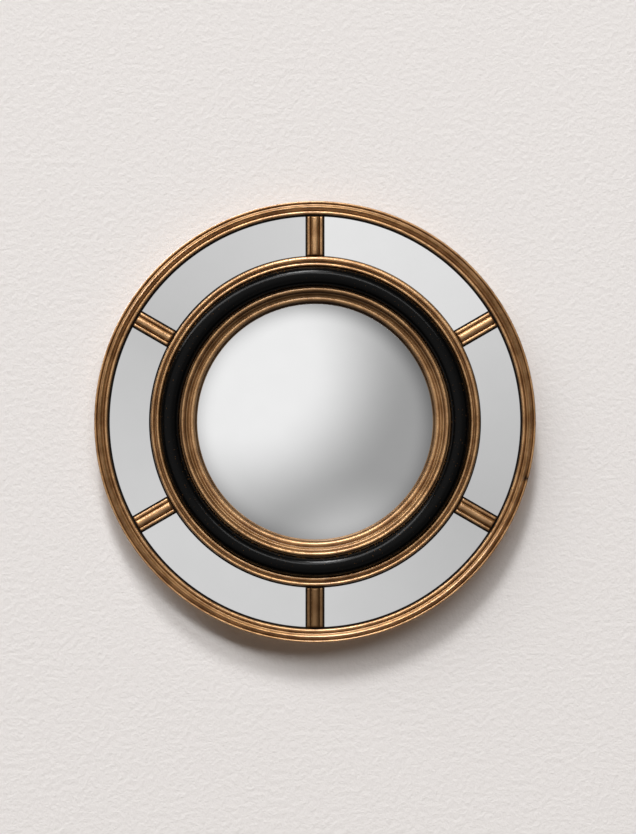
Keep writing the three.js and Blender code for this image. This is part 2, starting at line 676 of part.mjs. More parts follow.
// The centre line of the ring, from the middle of its straight bar and all the way round.
function ringPoints() {
  const half = RING_WIDTH / 2;
  const corner = RING_CORNER_RADIUS;
  const path = new THREE.Path();
  path.moveTo(0, 0);
  path.lineTo(half - corner, 0);
  path.absarc(half - corner, -corner, corner, UP, 0, true);
  path.lineTo(half, -corner - RING_SIDE);
  path.absarc(0, -corner - RING_SIDE, RING_BOW_RADIUS, 0, -Math.PI, true);
  path.lineTo(-half, -corner);
  path.absarc(-half + corner, -corner, corner, Math.PI, UP, true);
  path.lineTo(0, 0);
  const stepsOf = (curve) => (curve.isEllipseCurve ? RING_ARC_STEPS : 1);
  return path.curves.flatMap((curve) => curve.getPoints(stepsOf(curve)).slice(1));
}

// A round wire along a closed flat line: one ring of points for each point of the line.
function closedWire(points, wireRadius, sides) {
  const count = points.length;
  const positions = [];
  const corners = [];
  points.forEach((point, i) => {
    const before = points[(i + count - 1) % count];
    const after = points[(i + 1) % count];
    const along = after.clone().sub(before).normalize();
    const across = new THREE.Vector2(along.y, -along.x);
    for (let s = 0; s < sides; s += 1) {
      const turn = (2 * Math.PI * s) / sides;
      const out = wireRadius * Math.cos(turn);
      positions.push(point.x + across.x * out, point.y + across.y * out, wireRadius * Math.sin(turn));
      const here = i * sides + s;
      const beside = i * sides + ((s + 1) % sides);
      const next = ((i + 1) % count) * sides + s;
      const nextBeside = ((i + 1) % count) * sides + ((s + 1) % sides);
      corners.push(here, next, beside, beside, next, nextBeside);
    }
  });
  const wire = new THREE.BufferGeometry();
  wire.setAttribute('position', new THREE.Float32BufferAttribute(positions, 3));
  wire.setIndex(corners);
  wire.computeVertexNormals();
  return wire;
}

function addHanger() {
  const hanger = new THREE.Group();
  hanger.position.set(0, HANGER_RADIUS, HANGER_DEPTH);
  mirror.add(hanger);
  const uncut = strip(strapSection(), STRAP_WIDTH, EYE_ARC_STEPS).translate(-STRAP_WIDTH / 2, 0, 0);
  const holes = STRAP_SCREW_DROPS.map((drop) => {
    const radius = PAN_SHANK_RADIUS + SCREW_CLEARANCE;
    const outline = [
      [0, 0],
      [radius, 0],
      [radius, EYE_OUTER_RADIUS + OVERRUN],
      [0, EYE_OUTER_RADIUS + OVERRUN],
    ];
    return turned(outline, SCREW_SIDES).translate(0, -drop, 0);
  });
  add('hanger_strap', cut(uncut, holes), zincPlate(), hanger);
  add('hanger_ring', closedWire(ringPoints(), RING_WIRE_RADIUS, WIRE_SIDES), zincPlate(), hanger);
  const screws = STRAP_SCREW_RADII.flatMap((radius) => around(panScrew(STRAP_BACK), radius, [UP]));
  addEach('hanger_screw', screws, zincPlate);
}

// ---------------------------------------------------------------- assembly

addFrame();
addInnerGiltRing();
addEbonisedRing();
addSightRing();
addDome();
addBars();
addSegments();
addBoard();
addBoardScrews();
addCentrePlate();
addPacking();
addTurnButtons();
addHanger();
addPads();

// Stood up: the bench's Y becomes up and its Z comes out of the wall along -Y.
mirror.rotation.x = Math.PI / 2;
mirror.position.z = -HOOK_RADIUS;

const part = new THREE.Group();
part.add(mirror);

export default part;
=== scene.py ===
"""A round wall mirror: a domed centre glass in gilt and ebonised rings, with six flat glasses
between reeded bars around it, and a swinging hanger ring on its back.

Sizes in the code are millimetres in the bench frame: X to the right, Y up and Z out of the
wall, with the mirror's centre at X = Y = 0 and the wall at Z = 0.
"""

import json
import math
from functools import partial
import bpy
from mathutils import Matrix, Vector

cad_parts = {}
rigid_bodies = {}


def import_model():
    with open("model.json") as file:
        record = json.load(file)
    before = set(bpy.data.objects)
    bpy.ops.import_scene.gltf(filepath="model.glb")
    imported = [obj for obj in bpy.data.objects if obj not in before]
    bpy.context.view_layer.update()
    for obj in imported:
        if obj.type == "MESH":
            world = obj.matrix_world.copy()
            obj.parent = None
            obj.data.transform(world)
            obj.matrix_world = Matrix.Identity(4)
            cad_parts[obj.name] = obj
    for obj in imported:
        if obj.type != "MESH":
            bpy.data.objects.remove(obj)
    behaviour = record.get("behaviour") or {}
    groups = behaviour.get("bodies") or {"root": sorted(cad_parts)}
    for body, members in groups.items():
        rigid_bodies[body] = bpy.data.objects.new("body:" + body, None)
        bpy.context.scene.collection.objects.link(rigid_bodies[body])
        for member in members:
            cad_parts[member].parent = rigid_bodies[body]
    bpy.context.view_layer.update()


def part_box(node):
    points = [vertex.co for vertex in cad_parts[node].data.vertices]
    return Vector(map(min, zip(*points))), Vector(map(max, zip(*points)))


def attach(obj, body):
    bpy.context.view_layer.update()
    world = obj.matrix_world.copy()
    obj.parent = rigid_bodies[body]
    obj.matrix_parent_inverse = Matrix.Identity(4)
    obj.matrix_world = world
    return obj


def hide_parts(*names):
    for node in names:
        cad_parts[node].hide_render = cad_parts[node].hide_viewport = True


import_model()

from types import SimpleNamespace

import bmesh
import bpy
import numpy as np
from bpy.props import FloatProperty, FloatVectorProperty, IntProperty, PointerProperty
from mathutils import Matrix, Vector

bl_info = {
    "name": "Convex butlers mirror",
    "version": (1, 0, 0),
    "blender": (4, 5, 0),
    "location": "3D View > Sidebar > Mirror",
    "description": "Builds a round wall mirror with a domed centre glass and six flat glasses",
    "category": "Object",
}

MM = 0.001


# ------------------------------------------------------------------ planes of the fixed frame


def depths(node):
    """How far a node's back and face stand off the wall."""
    low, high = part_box(node)
    return -high.y / MM, -low.y / MM


RING_LOW, RING_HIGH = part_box("outer_ring")
CENTRE_UP = (RING_LOW.z + RING_HIGH.z) / 2 / MM
FRAME_RADIUS = (RING_HIGH.x - RING_LOW.x) / 2 / MM
BOARD_BACK, BOARD_FACE = depths("back_board")
GLASS_BACK, GLASS_FACE = depths("mirror_segment_1")
PLATE_BACK, PLATE_FACE = depths("centre_back_plate")
DOME_APEX = depths("convex_glass")[1]
STRAP_BACK, STRAP_FACE = depths("hanger_strap")
BUTTON_BACK, BUTTON_FACE = depths("turn_button_1")
PAD_FACE, PAD_FOOT = depths("wall_pad_1")

FIT_GAP = 0.3  # clearance between pieces that seat on each other
LIP_BACK = GLASS_FACE + FIT_GAP
FILLET_HEIGHT = 1.5
FILLET_FACE = LIP_BACK + FILLET_HEIGHT

BAY_COUNT = 6
BAR_ANGLES = [math.radians(90 + 60 * i) for i in range(BAY_COUNT)]
BAY_ANGLES = [math.radians(120 + 60 * i) for i in range(BAY_COUNT)]
EBONY_SCREW_ANGLES = [math.radians(120 + 120 * i) for i in range(3)]
CORNER_ANGLES = [math.radians(45 + 90 * i) for i in range(4)]
UP = math.pi / 2


# ------------------------------------------------------------------ fixed sizes, in millimetres

# Gilt frame and bars
FRAME_SKIRT = 4  # wall of the frame that wraps the board's edge
GLASS_COVER = 2.7  # how far a moulding laps over the flat glass
REEDS_FOOT = LIP_BACK + 2.2
OUTER_REED_RISE = 1.5
CROWN_RISE = 2.9
CROWN_BOW = 1.2  # a power: 1 gives the crown straight sides, more bows them out
INNER_REED_RISE = 1.9
GROOVE_DIP = 0.35  # V of a groove below the feet of its reeds
INCISION_OFFSET = 1.8  # two fine lines cut round the crown, this far from its middle
INCISION_DEPTH = 0.38
INCISION_HALF_WIDTH = 0.28
EDGE = 0.4  # chamfer on hidden corners
BAR_QUIRK_WIDTH = 0.4
BAR_QUIRK_DEPTH = 0.5
BAR_SIDE_BEAD_RISE = 1.6
BAR_CENTRE_BEAD_RISE = 3.2
BAR_END_ROUND = 1.3  # length over which a bead drops at its ends
BAR_END_DROP = 0.45  # share of its height that it drops by
BAR_STEPS = 40

# Inner gilt ring
BEADS_FOOT = LIP_BACK + 2.4
WIDE_BEAD_RISE = 2.6
THIN_BEAD_RISE = 2.2
BEAD_GROOVE_SLOPE = 0.3  # width of the two sides of its groove

# Ebonised ring
EBONY_WALL_HEIGHT = 6.5
EBONY_RISE = 8

# Sight ring
QUIRK_WIDTH = 0.9
FLANGE_WIDTH = 3.3
FLANGE_THICKNESS = 2.5
RIM_BEAD_FOOT = 7.6
RIM_BEAD_RISE = 2
COVE_DROP = 3.7
COVE_SAG = 1.2
COVE_REED_OFFSET = 2.1  # small reed in the cove, from the foot of the rim bead
COVE_REED_HALF_WIDTH = 0.6
COVE_REED_RISE = 0.4
COVE_QUIRK_OFFSET = 0.9  # fine groove between that reed and the rim bead
COVE_QUIRK_HALF_WIDTH = 0.35
SIGHT_BEAD_RISE = 1.9
SIGHT_LIP_THICKNESS = 1.2

# Glasses
DOME_COVER = 3.7  # how far the sight ring laps over the dome's edge
DOME_SIDES = 192
DOME_ROWS = 41
PANE_ACROSS = 48
PANE_DEEP = 8
PANE_ARRIS = 0.5

# Board, packing and centre plate
APERTURE_CLEARANCE = 1.3
PLATE_LAP = 5.2
PLATE_EDGE_GAP = 0.6
PACKING_WIDTH = 6
OVERRUN = 1  # how far a cutter runs past the face that it opens

# Screws
SCREW_RADIUS = 1.6
SCREW_HEAD_RADIUS = 3.2
SCREW_HEAD_HEIGHT = 1.8
SCREW_HEAD_EDGE = 0.15
SCREW_LENGTH = 13.6
SCREW_POINT = 2.4
SCREW_SINK = 0.3  # head below the back of the board
SINK_CLEARANCE = 0.2
PAN_HEAD_RADIUS = 3
PAN_HEAD_HEIGHT = 1.4
PAN_SHANK_RADIUS = 1.3
PAN_BITE = 6.5  # how far the shank goes into the board
PAN_POINT = 1.5
HEAD_SIDES = 40
RECESS_LENGTH = 3.4
RECESS_WIDTH = 0.85
RECESS_DEPTH = 1.2
RECESS_TAPER = 0.55  # share of its length and width left at the bottom
TURN_STEP = math.radians(37)  # how much further each next screw's cross is turned

# Turn buttons
BUTTON_SETBACK = 8
BUTTON_HEEL_RADIUS = 5
BUTTON_TOE_RADIUS = 3.2
BUTTON_REACH = 15
BUTTON_EDGE = 0.25
PIVOT_CLEARANCE = 0.3

# Hanger
HANGER_DROP = 12.25
STRAP_WIDTH = 14
STRAP_THICKNESS = 1.2
STRAP_LENGTH = 29.5
STRAP_SCREW_DROPS = (9.5, 23.5)
STRAP_CORNER = 2.5
STRAP_CORNER_STEPS = (0, 0.2, 0.6, 1.2, 1.9, STRAP_CORNER)
STRAP_EDGE = 0.2
EYE_WRAP = math.radians(255)
EYE_START = 4  # the strap starts to roll this far below the pivot
WIRE_RADIUS = 1.5
WIRE_CLEARANCE = 0.3
WIRE_SIDES = 20
RING_WIDTH = 23
RING_SIDE = 2
RING_CORNER = 3

# Wall pads
PAD_INSET = 17.7
PAD_RADIUS = 5
PAD_FACE_RADIUS = 4
PAD_ROUND = 0.8
PAD_EDGE = 0.2

# Marks of handwork and age
HAND_LAID_OVER = 1.5  # height above its foot at which a bead is fully uneven
SEAM_ANGLE = math.radians(-15)  # where the outer reed's ends meet
SEAM_WIDTH = 0.7
SEAM_DEPTH = 0.7
SEAM_STEP = 0.45
SEAM_REACH = 3.8  # the seam runs in from the frame's outer edge as far as this
STEP_FADE = math.radians(14)
NICK_ANGLE = math.radians(94.7)
NICK_RADIUS = 195.4
NICK_LENGTH = 1.6
NICK_WIDTH = 0.9
NICK_DEPTH = 0.6
LEAN_ANGLE = math.radians(50)  # the wide bead spreads over its fillet on this side
LEAN = 1.1
LEAN_SLOPE = 1.8
DOME_SHADE_FROM = 88  # radius at which the dome's painted shade starts, darkening it towards its rim
DOME_SHADE_ANGLE = math.radians(50)
DOME_SHADE_LEAST = 0.1
DOME_SHADE_MORE = 0.36
BAR_TONING = (0, 0, 0, 0.65, 0.3, 0)  # painted shade on each bar, from the top one on: the lower bars darker, as if less lit
# Share of light that each flat glass gives back, at its first and last end going round: painted
# reflection, each glass made lighter or darker, with a slope across it, as its reflection of the
# room shows.
PANE_SILVER = [(0.8, 0.65), (0.66, 0.79), (0.83, 0.86), (0.86, 0.71), (0.7, 0.84), (0.98, 1)]


# ------------------------------------------------------------------ what a user can change


def linear(code):
    """An sRGB hex colour such as #a9824e as linear red, green and blue."""
    values = [int(code[i : i + 2], 16) / 255 for i in (1, 3, 5)]
    return tuple(v / 12.92 if v <= 0.04045 else ((v + 0.055) / 1.055) ** 2.4 for v in values)


def length(name, description, millimetres):
    settings = {"default": millimetres * MM, "min": 0, "unit": "LENGTH", "subtype": "DISTANCE"}
    return FloatProperty(name=name, description=description, **settings)


def colour(name, description, code):
    settings = {"default": linear(code), "size": 3, "min": 0, "max": 1, "subtype": "COLOR"}
    return FloatVectorProperty(name=name, description=description, **settings)


class MirrorSizes(bpy.types.PropertyGroup):
    """Face sizes of the mirror, from its outer edge inwards"""

    frame_radius: length("Frame radius", "Centre to the outer edge", FRAME_RADIUS)
    outer_reed: length("Outer reed", "Width of the frame's outer reed", 2.2)
    crown: length("Crown", "Width of the frame's broad middle moulding", 6)
    inner_reed: length("Inner reed", "Width of the frame's inner reed", 3.4)
    groove: length("Reed groove", "Width of the grooves between the reeds", 0.4)
    fillet: length("Sight fillet", "Width of the black step next to the flat glass", 1.4)
    bay: length("Bay", "Visible width of the flat glass", 35.8)
    wide_bead: length("Wide bead", "Width of the inner gilt ring's outer bead", 3.7)
    bead_groove: length("Bead groove", "Width of the inner gilt ring's groove", 1.1)
    thin_bead: length("Thin bead", "Width of the inner gilt ring's inner bead", 3.4)
    ebony: length("Ebonised ring", "Width of the black half round", 17.7)
    rim_bead: length("Rim bead", "Width of the sight ring's outer bead", 3.6)
    cove: length("Cove", "Width of the sight ring's hollow", 4.6)
    sight_bead: length("Sight bead", "Width of the bead next to the domed glass", 4.2)
    sight_lip: length("Sight lip", "Width of the black lip over the domed glass", 0.5)
    dome_rise: length("Dome rise", "Height of the dome above its visible edge", 25)
    glass_thickness: length("Domed glass", "Thickness of the domed glass", 3)
    bar_side_bead: length("Bar side bead", "Width of a bar's two side beads", 3.2)
    bar_centre_bead: length("Bar centre bead", "Width of a bar's middle bead", 7.3)
    ring_steps: IntProperty(
        name="Steps round a ring",
        description="Number of straight steps that a turned ring is drawn with",
        default=360,
        min=60,
    )


class MirrorColours(bpy.types.PropertyGroup):
    """Colours of the finishes"""

    gilt_light: colour("Gilt, rubbed", "Bronze gilding where it is burnished", "#bc905e")
    gilt_mid: colour("Gilt, flat", "Bronze gilding between the crests", "#8f6231")
    gilt_dark: colour("Gilt, toned", "Umber toning in the grooves", "#1c0800")
    sight_black: colour("Sight edge", "Black paint on the steps next to the glass", "#0a0503")
    ebony: colour("Ebonised wood", "Black stain under satin polish", "#040404")
    silvering: colour("Silvering", "Silver behind clear glass", "#f9f9f9")
    board: colour("Fibreboard", "Sanded medium density fibreboard", "#8a6a48")
    hardboard: colour("Hardboard", "Smooth side of pressed hardboard", "#5d3b22")
    zinc: colour("Zinc plate", "Bright zinc over steel", "#c3c4c0")
    felt: colour("Felt", "Pressed grey wool", "#6a665f")
    rubber: colour("Rubber", "Moulded black rubber", "#1b1b1b")
    wall: colour("Wall", "Matt paint on plaster", "#eae8e7")


# ------------------------------------------------------------------ materials


def add_node(tree, kind, inputs=None, **settings):
    """A node with its settings, where each input is a value, or a socket or a node to link. A
    node stands for the first of its outputs that is in use."""
    node = tree.nodes.new("ShaderNode" + kind)
    for name, value in settings.items():
        setattr(node, name, value)
    for name, value in (inputs or {}).items():
        if isinstance(value, bpy.types.Node):
            value = next(socket for socket in value.outputs if socket.enabled)
        if isinstance(value, bpy.types.NodeSocket):
            tree.links.new(value, node.inputs[name])
        else:
            node.inputs[name].default_value = value
    return node


def blank_material(name):
    """An empty material, the call that adds nodes to it, and the socket that says where on the
    piece a point is."""
    material = bpy.data.materials.new(name)
    material.use_nodes = True
    material.node_tree.nodes.clear()
    add = partial(add_node, material.node_tree)
    return material, add, add("TexCoord").outputs["Object"]


def per_size(millimetres):
    """Texture scale at which a pattern repeats about once in that real size."""
    return 1 / (millimetres * MM)


def rgba(value, share=1):
    return (*(v * share for v in value[:3]), 1)


def made_once(build):
    """The material that build makes, kept by name so that later calls share it."""
    found = bpy.data.materials.get(build.__name__)
    return found or build(bpy.context.scene.mirror_colours)


def toned_bronze_gilding_on_gesso(colours):
    """Bronze leaf laid by hand over turned, gessoed wood, rubbed on the crests, with umber wax in
    the hollows: a warm metal that is soft and streaky and dark in its grooves, partly from the wax
    and partly from painted shade there."""
    material, add, spot = blank_material("toned_bronze_gilding_on_gesso")
    # The groove-darkening attribute is partly umber wax in the hollows and partly painted shade,
    # where grooves, bead feet and joints fall in shade.
    toning = add("Attribute", attribute_name="toning").outputs["Fac"]
    grain = add("Attribute", attribute_name="grain").outputs["Vector"]
    # Clouds of thinner and thicker leaf, about 14 mm across.
    clouds = add("TexNoise", {"Vector": spot, "Scale": per_size(14), "Detail": 2, "Roughness": 0.5})
    # Brush strokes run along the moulding: 7 mm long and 0.7 mm wide.
    stroke_place = add("Mapping", {"Vector": grain, "Scale": (1 / 7, 1 / 7, 1 / 0.7)})
    strokes = add("TexNoise", {"Vector": stroke_place, "Scale": 1, "Detail": 2, "Roughness": 0.5})
    # Grit of the gesso, drawn at 1.3 mm because its real 0.3 mm is finer than the render shows.
    grit = add("TexNoise", {"Vector": spot, "Scale": per_size(1.3), "Detail": 2, "Roughness": 0.7})
    rubbed = add("MapRange", {"Value": clouds, "From Min": 0.35, "From Max": 0.7})
    streaked = add(
        "Math", {0: strokes, 1: 0.5, 2: rubbed}, operation="MULTIPLY_ADD", use_clamp=True
    )
    leaf = add(
        "Mix",
        {"Factor": streaked, "A": rgba(colours.gilt_mid), "B": rgba(colours.gilt_light)},
        data_type="RGBA",
    )
    worn = add("MapRange", {"Value": grit, "From Min": 0.54, "From Max": 0.72, "To Max": 0.6})
    # Wear from the grit, and the groove darkening that is partly painted shade, take the leaf
    # towards umber.
    dirt = add("Math", {0: toning, 1: worn}, operation="MAXIMUM", use_clamp=True)
    toned = add("Mix", {"Factor": dirt, "A": leaf, "B": rgba(colours.gilt_dark)}, data_type="RGBA")
    metal = add("MapRange", {"Value": dirt, "To Min": 0.94, "To Max": 0.5})
    rough = add("MapRange", {"Value": dirt, "To Min": 0.43, "To Max": 0.62})
    varnish = add("MapRange", {"Value": dirt, "From Max": 0.7, "To Min": 1, "To Max": 0})
    stroke_bump = add("Bump", {"Height": strokes, "Strength": 0.25, "Distance": 0.08 * MM})
    bump = add(
        "Bump", {"Height": grit, "Strength": 0.9, "Distance": 0.26 * MM, "Normal": stroke_bump}
    )
    shader = add(
        "BsdfPrincipled",
        {
            "Base Color": toned,
            "Metallic": metal,
            "Roughness": rough,
            "Coat Weight": varnish,
            "Coat Roughness": 0.27,
            "Coat IOR": 1.6,
            "Normal": bump,
        },
    )
    add("OutputMaterial", {"Surface": shader})
    return material


def black_painted_sight_edge(colours):
    """Flat black paint brushed on the step next to the glass, so that its edge reads as a
    thin dark line: near black, with a faint brown where the brush left it thin."""
    material, add, spot = blank_material("black_painted_sight_edge")
    # Thin patches of the paint, about 4 mm long.
    thin = add("TexNoise", {"Vector": spot, "Scale": per_size(4), "Detail": 2})
    patches = add("MapRange", {"Value": thin, "From Min": 0.5, "From Max": 0.8, "To Max": 0.4})
    paint = add(
        "Mix",
        {"Factor": patches, "A": rgba(colours.sight_black), "B": rgba(colours.gilt_dark)},
        data_type="RGBA",
    )
    shader = add(
        "BsdfPrincipled", {"Base Color": paint, "Roughness": 0.6, "Specular IOR Level": 0.1}
    )
    add("OutputMaterial", {"Surface": shader})
    return material


def ebonised_beech_with_satin_polish(colours):
    """Beech stained black and rubbed to a satin polish: a deep black half round with a broad
    soft sheen, fine rubbing marks along it, and flecks of gilding near its edges."""
    material, add, spot = blank_material("ebonised_beech_with_satin_polish")
    grain = add("Attribute", attribute_name="grain").outputs["Vector"]
    edge = add("Attribute", attribute_name="toning").outputs["Fac"]
    # Rubbing marks along the ring: 16 mm long and 0.9 mm wide.
    mark_place = add("Mapping", {"Vector": grain, "Scale": (1 / 16, 1 / 16, 1 / 0.9)})
    marks = add("TexNoise", {"Vector": mark_place, "Scale": 1, "Detail": 3, "Roughness": 0.6})
    # Orange peel of the polish, drawn at 1.4 mm because its real 0.4 mm is too fine to show.
    peel = add("TexNoise", {"Vector": spot, "Scale": per_size(1.4), "Detail": 2, "Roughness": 0.7})
    # Flecks of gilding, 1.1 mm across, more of them towards the edges.
    flecks = add("TexNoise", {"Vector": spot, "Scale": per_size(1.1), "Detail": 1})
    reach = add("Math", {0: edge, 1: 0.24, 2: flecks}, operation="MULTIPLY_ADD")
    fleck = add("MapRange", {"Value": reach, "From Min": 0.74, "From Max": 0.8, "To Max": 0.6})
    stain = add(
        "Mix",
        {"Factor": fleck, "A": rgba(colours.ebony), "B": rgba(colours.gilt_mid)},
        data_type="RGBA",
    )
    rough = add("MapRange", {"Value": marks, "To Min": 0.12, "To Max": 0.24})
    mark_bump = add("Bump", {"Height": marks, "Strength": 0.35, "Distance": 0.08 * MM})
    bump = add(
        "Bump", {"Height": peel, "Strength": 0.5, "Distance": 0.08 * MM, "Normal": mark_bump}
    )
    shader = add(
        "BsdfPrincipled",
        {
            "Base Color": stain,
            "Roughness": rough,
            "IOR": 1.5,
            "Specular IOR Level": 0.1,
            "Normal": bump,
        },
    )
    add("OutputMaterial", {"Surface": shader})
    return material


def silvered_glass(name, colours, roughness, ripple):
    """Glass silvered on its back: a clean mirror, its silvering a little cloudier in places, and
    its brightness scaled point by point by painted reflection and painted shade.
    """
    material, add, spot = blank_material(name)
    # Per-point share of the silvering that is painted light: darker near the dome's rim, and
    # lighter or darker on each flat glass, standing in for reflection and shade.
    tone = add("Attribute", attribute_name="silver").outputs["Fac"]
    # Slow ripple of drawn glass, 60 mm from crest to crest.
    waves = add("TexNoise", {"Vector": spot, "Scale": per_size(60), "Detail": 1})
    # Haze in the silvering, about 25 mm across.
    haze = add("TexNoise", {"Vector": spot, "Scale": per_size(25), "Detail": 2})
    cloud = add("MapRange", {"Value": haze, "To Min": 0.97, "To Max": 1.01})
    share = add("Math", {0: tone, 1: cloud}, operation="MULTIPLY")
    silver = add("VectorMath", {0: colours.silvering[:3], "Scale": share}, operation="SCALE")
    bump = add("Bump", {"Height": waves, "Strength": ripple, "Distance": 0.05 * MM})
    shader = add(
        "BsdfPrincipled",
        {"Base Color": silver, "Metallic": 1, "Roughness": roughness, "Normal": bump},
    )
    add("OutputMaterial", {"Surface": shader})
    return material


def flat_float_glass_silvered(colours):
    """Cut float glass, silvered and painted on its back, which gives a hard clean mirror."""
    return silvered_glass("flat_float_glass_silvered", colours, 0.03, 0.5)


def domed_slumped_glass_silvered(colours):
    """Glass slumped over a mould and then silvered, which gives a softly blurred mirror."""
    return silvered_glass("domed_slumped_glass_silvered", colours, 0.08, 0.2)


def speckled(name, light, dark, speck, roughness, height):
    """A matt stuff of two tones, with specks of the given size and height in millimetres."""
    material, add, spot = blank_material(name)
    fibres = add(
        "TexNoise", {"Vector": spot, "Scale": per_size(speck), "Detail": 4, "Roughness": 0.75}
    )
    # Slow change of tone from sheet to sheet, 45 mm across.
    clouds = add("TexNoise", {"Vector": spot, "Scale": per_size(45), "Detail": 2})
    mixed = add("Math", {0: clouds, 1: 0.35, 2: fibres}, operation="MULTIPLY_ADD")
    spread = add("MapRange", {"Value": mixed, "From Min": 0.45, "From Max": 0.9})
    tone = add("Mix", {"Factor": spread, "A": dark, "B": light}, data_type="RGBA")
    bump = add("Bump", {"Height": fibres, "Strength": 0.6, "Distance": height * MM})
    shader = add("BsdfPrincipled", {"Base Color": tone, "Roughness": roughness, "Normal": bump})
    add("OutputMaterial", {"Surface": shader})
    return material


def mdf_sanded(colours):
    """Medium density fibreboard, pressed and sanded: matt tan with short fine fibres."""
    tan = colours.board
    return speckled("mdf_sanded", rgba(tan), rgba(tan, 0.62), 1.8, 0.85, 0.08)


def hardboard_pressed_smooth(colours):
    """Hardboard with its pressed side out: dark brown with a dull shine and coarse flecks."""
    brown = colours.hardboard
    return speckled("hardboard_pressed_smooth", rgba(brown), rgba(brown, 0.55), 3, 0.5, 0.04)


def wool_felt_pressed(colours):
    """Pressed wool felt: matt grey with a fuzzy uneven face."""
    return speckled("wool_felt_pressed", rgba(colours.felt), rgba(colours.felt, 0.6), 1, 1, 0.3)


def nitrile_rubber_moulded(colours):
    """Moulded rubber: black with a dull even skin."""
    black = colours.rubber
    return speckled("nitrile_rubber_moulded", rgba(black, 1.6), rgba(black), 1, 0.65, 0.04)


def zinc_plated_steel_stamped(colours):
    """Stamped steel with bright zinc plate: a pale grey metal with soft cloudy crystals."""
    material, add, spot = blank_material("zinc_plated_steel_stamped")
    # Cloudy patches of the plating, 2.5 mm across.
    clouds = add("TexNoise", {"Vector": spot, "Scale": per_size(2.5), "Detail": 3})
    tone = add(
        "Mix",
        {"Factor": clouds, "A": rgba(colours.zinc, 0.8), "B": rgba(colours.zinc)},
        data_type="RGBA",
    )
    rough = add("MapRange", {"Value": clouds, "To Min": 0.28, "To Max": 0.45})
    shader = add("BsdfPrincipled", {"Base Color": tone, "Metallic": 1, "Roughness": rough})
    add("OutputMaterial", {"Surface": shader})
    return material


def emulsion_rolled_on_plaster(colours):
    """Matt paint rolled on a plastered wall: pale and warm, with the low orange peel that a
    roller leaves. It shows from the front alone, so that the mirror's back can be looked at."""
    material, add, spot = blank_material("emulsion_rolled_on_plaster")
    # Stipple of the roller, 5 mm from crest to crest, and finer 1.8 mm points on it.
    stipple = add(
        "TexNoise", {"Vector": spot, "Scale": per_size(5), "Detail": 2, "Roughness": 0.55}
    )
    points = add("TexNoise", {"Vector": spot, "Scale": per_size(1.8), "Detail": 2})
    point_bump = add("Bump", {"Height": points, "Strength": 0.6, "Distance": 0.3 * MM})
    bump = add(
        "Bump", {"Height": stipple, "Strength": 0.9, "Distance": 0.6 * MM, "Normal": point_bump}
    )
    paint = add(
        "BsdfPrincipled",
        {
            "Base Color": rgba(colours.wall),
            "Roughness": 0.9,
            "Specular IOR Level": 0.2,
            "Normal": bump,
        },
    )
    from_behind = add("NewGeometry").outputs["Backfacing"]
    clear = add("BsdfTransparent")
    both = add("MixShader", {0: from_behind, 1: paint, 2: clear})
    add("OutputMaterial", {"Surface": both})
    return material


# ------------------------------------------------------------------ meshes


SHARP = math.radians(32)  # faces that meet at more than this keep a hard edge between them


def to_wall(points):
    """Bench points in millimetres as points in metres, with the mirror hung on the wall."""
    points = np.asarray(points, float)
    return np.column_stack([points[:, 0], -points[:, 2], points[:, 1] + CENTRE_UP]) * MM


def as_piece(name, mesh, materials, body, nodes):
    """An object of that mesh that rides on the body and stands for the CAD nodes."""
    piece = bpy.data.objects.new(name, mesh)
    bpy.context.scene.collection.objects.link(piece)
    for material in materials:
        mesh.materials.append(material)
    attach(piece, body)
    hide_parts(*nodes)
    return piece


def mesh_of(name, points, faces, black=None, **attributes):
    """A smooth-shaded mesh in place on the wall, with numbers or vectors kept on its points.
    Faces whose entry in black is set take the second material."""
    mesh = bpy.data.meshes.new(name)
    mesh.from_pydata(to_wall(points).tolist(), [], [list(face) for face in faces])
    mesh.validate()
    mesh.polygons.foreach_set("use_smooth", [True] * len(mesh.polygons))
    if black is not None:
        mesh.polygons.foreach_set("material_index", np.asarray(black, np.int32))
    for key, values in attributes.items():
        values = np.asarray(values, np.float32)
        kind, field = ("FLOAT", "value") if values.ndim == 1 else ("FLOAT_VECTOR", "vector")
        mesh.attributes.new(key, kind, "POINT").data.foreach_set(field, values.ravel())
    mesh.set_sharp_from_angle(angle=SHARP)
    mesh.update()
    return mesh


def spun(points, angle):
    """Bench points turned about the mirror's centre."""
    c, s = math.cos(angle), math.sin(angle)
    points = np.asarray(points, float)
    return np.column_stack(
        [points[:, 0] * c - points[:, 1] * s, points[:, 0] * s + points[:, 1] * c, points[:, 2]]
    )


def outward(mesh):
    """The closed mesh with its faces all turned to the outside."""
    work = bmesh.new()
    work.from_mesh(mesh)
    bmesh.ops.recalc_face_normals(work, faces=work.faces)
    work.to_mesh(mesh)
    work.free()
    return mesh


def bead(start, end, rise, steps, foot_tone=0.65):
    """Rows of a half round from one foot to the other, darker at its feet with umber wax and
    painted shade: radius, depth, tone.
    """
    rows = []
    for i in range(steps + 1):
        turn = math.pi * i / steps
        share = (1 - math.cos(turn)) / 2
        across = start[0] + (end[0] - start[0]) * share
        foot = start[1] + (end[1] - start[1]) * share
        # Darker towards the feet: partly umber wax, partly painted shade in the hollow.
        tone = foot_tone * (1 - math.sin(turn)) ** 2.2
        rows.append((across, foot + rise * math.sin(turn), tone))
    return rows


def plain(*points, tone=0.5):
    """Rows for bare corners of a section, all of one tone."""
    return [(across, depth, tone) for across, depth in points]


def travelled(rows):
    """How far each row is along the section, in millimetres."""
    steps = [math.dist(a[:2], b[:2]) for a, b in zip(rows, rows[1:])]
    return np.concatenate([[0], np.cumsum(steps)])


def section_area(rows):
    pairs = zip(rows, rows[1:] + rows[:1])
    return sum(a[0] * b[1] - b[0] * a[1] for a, b in pairs) / 2


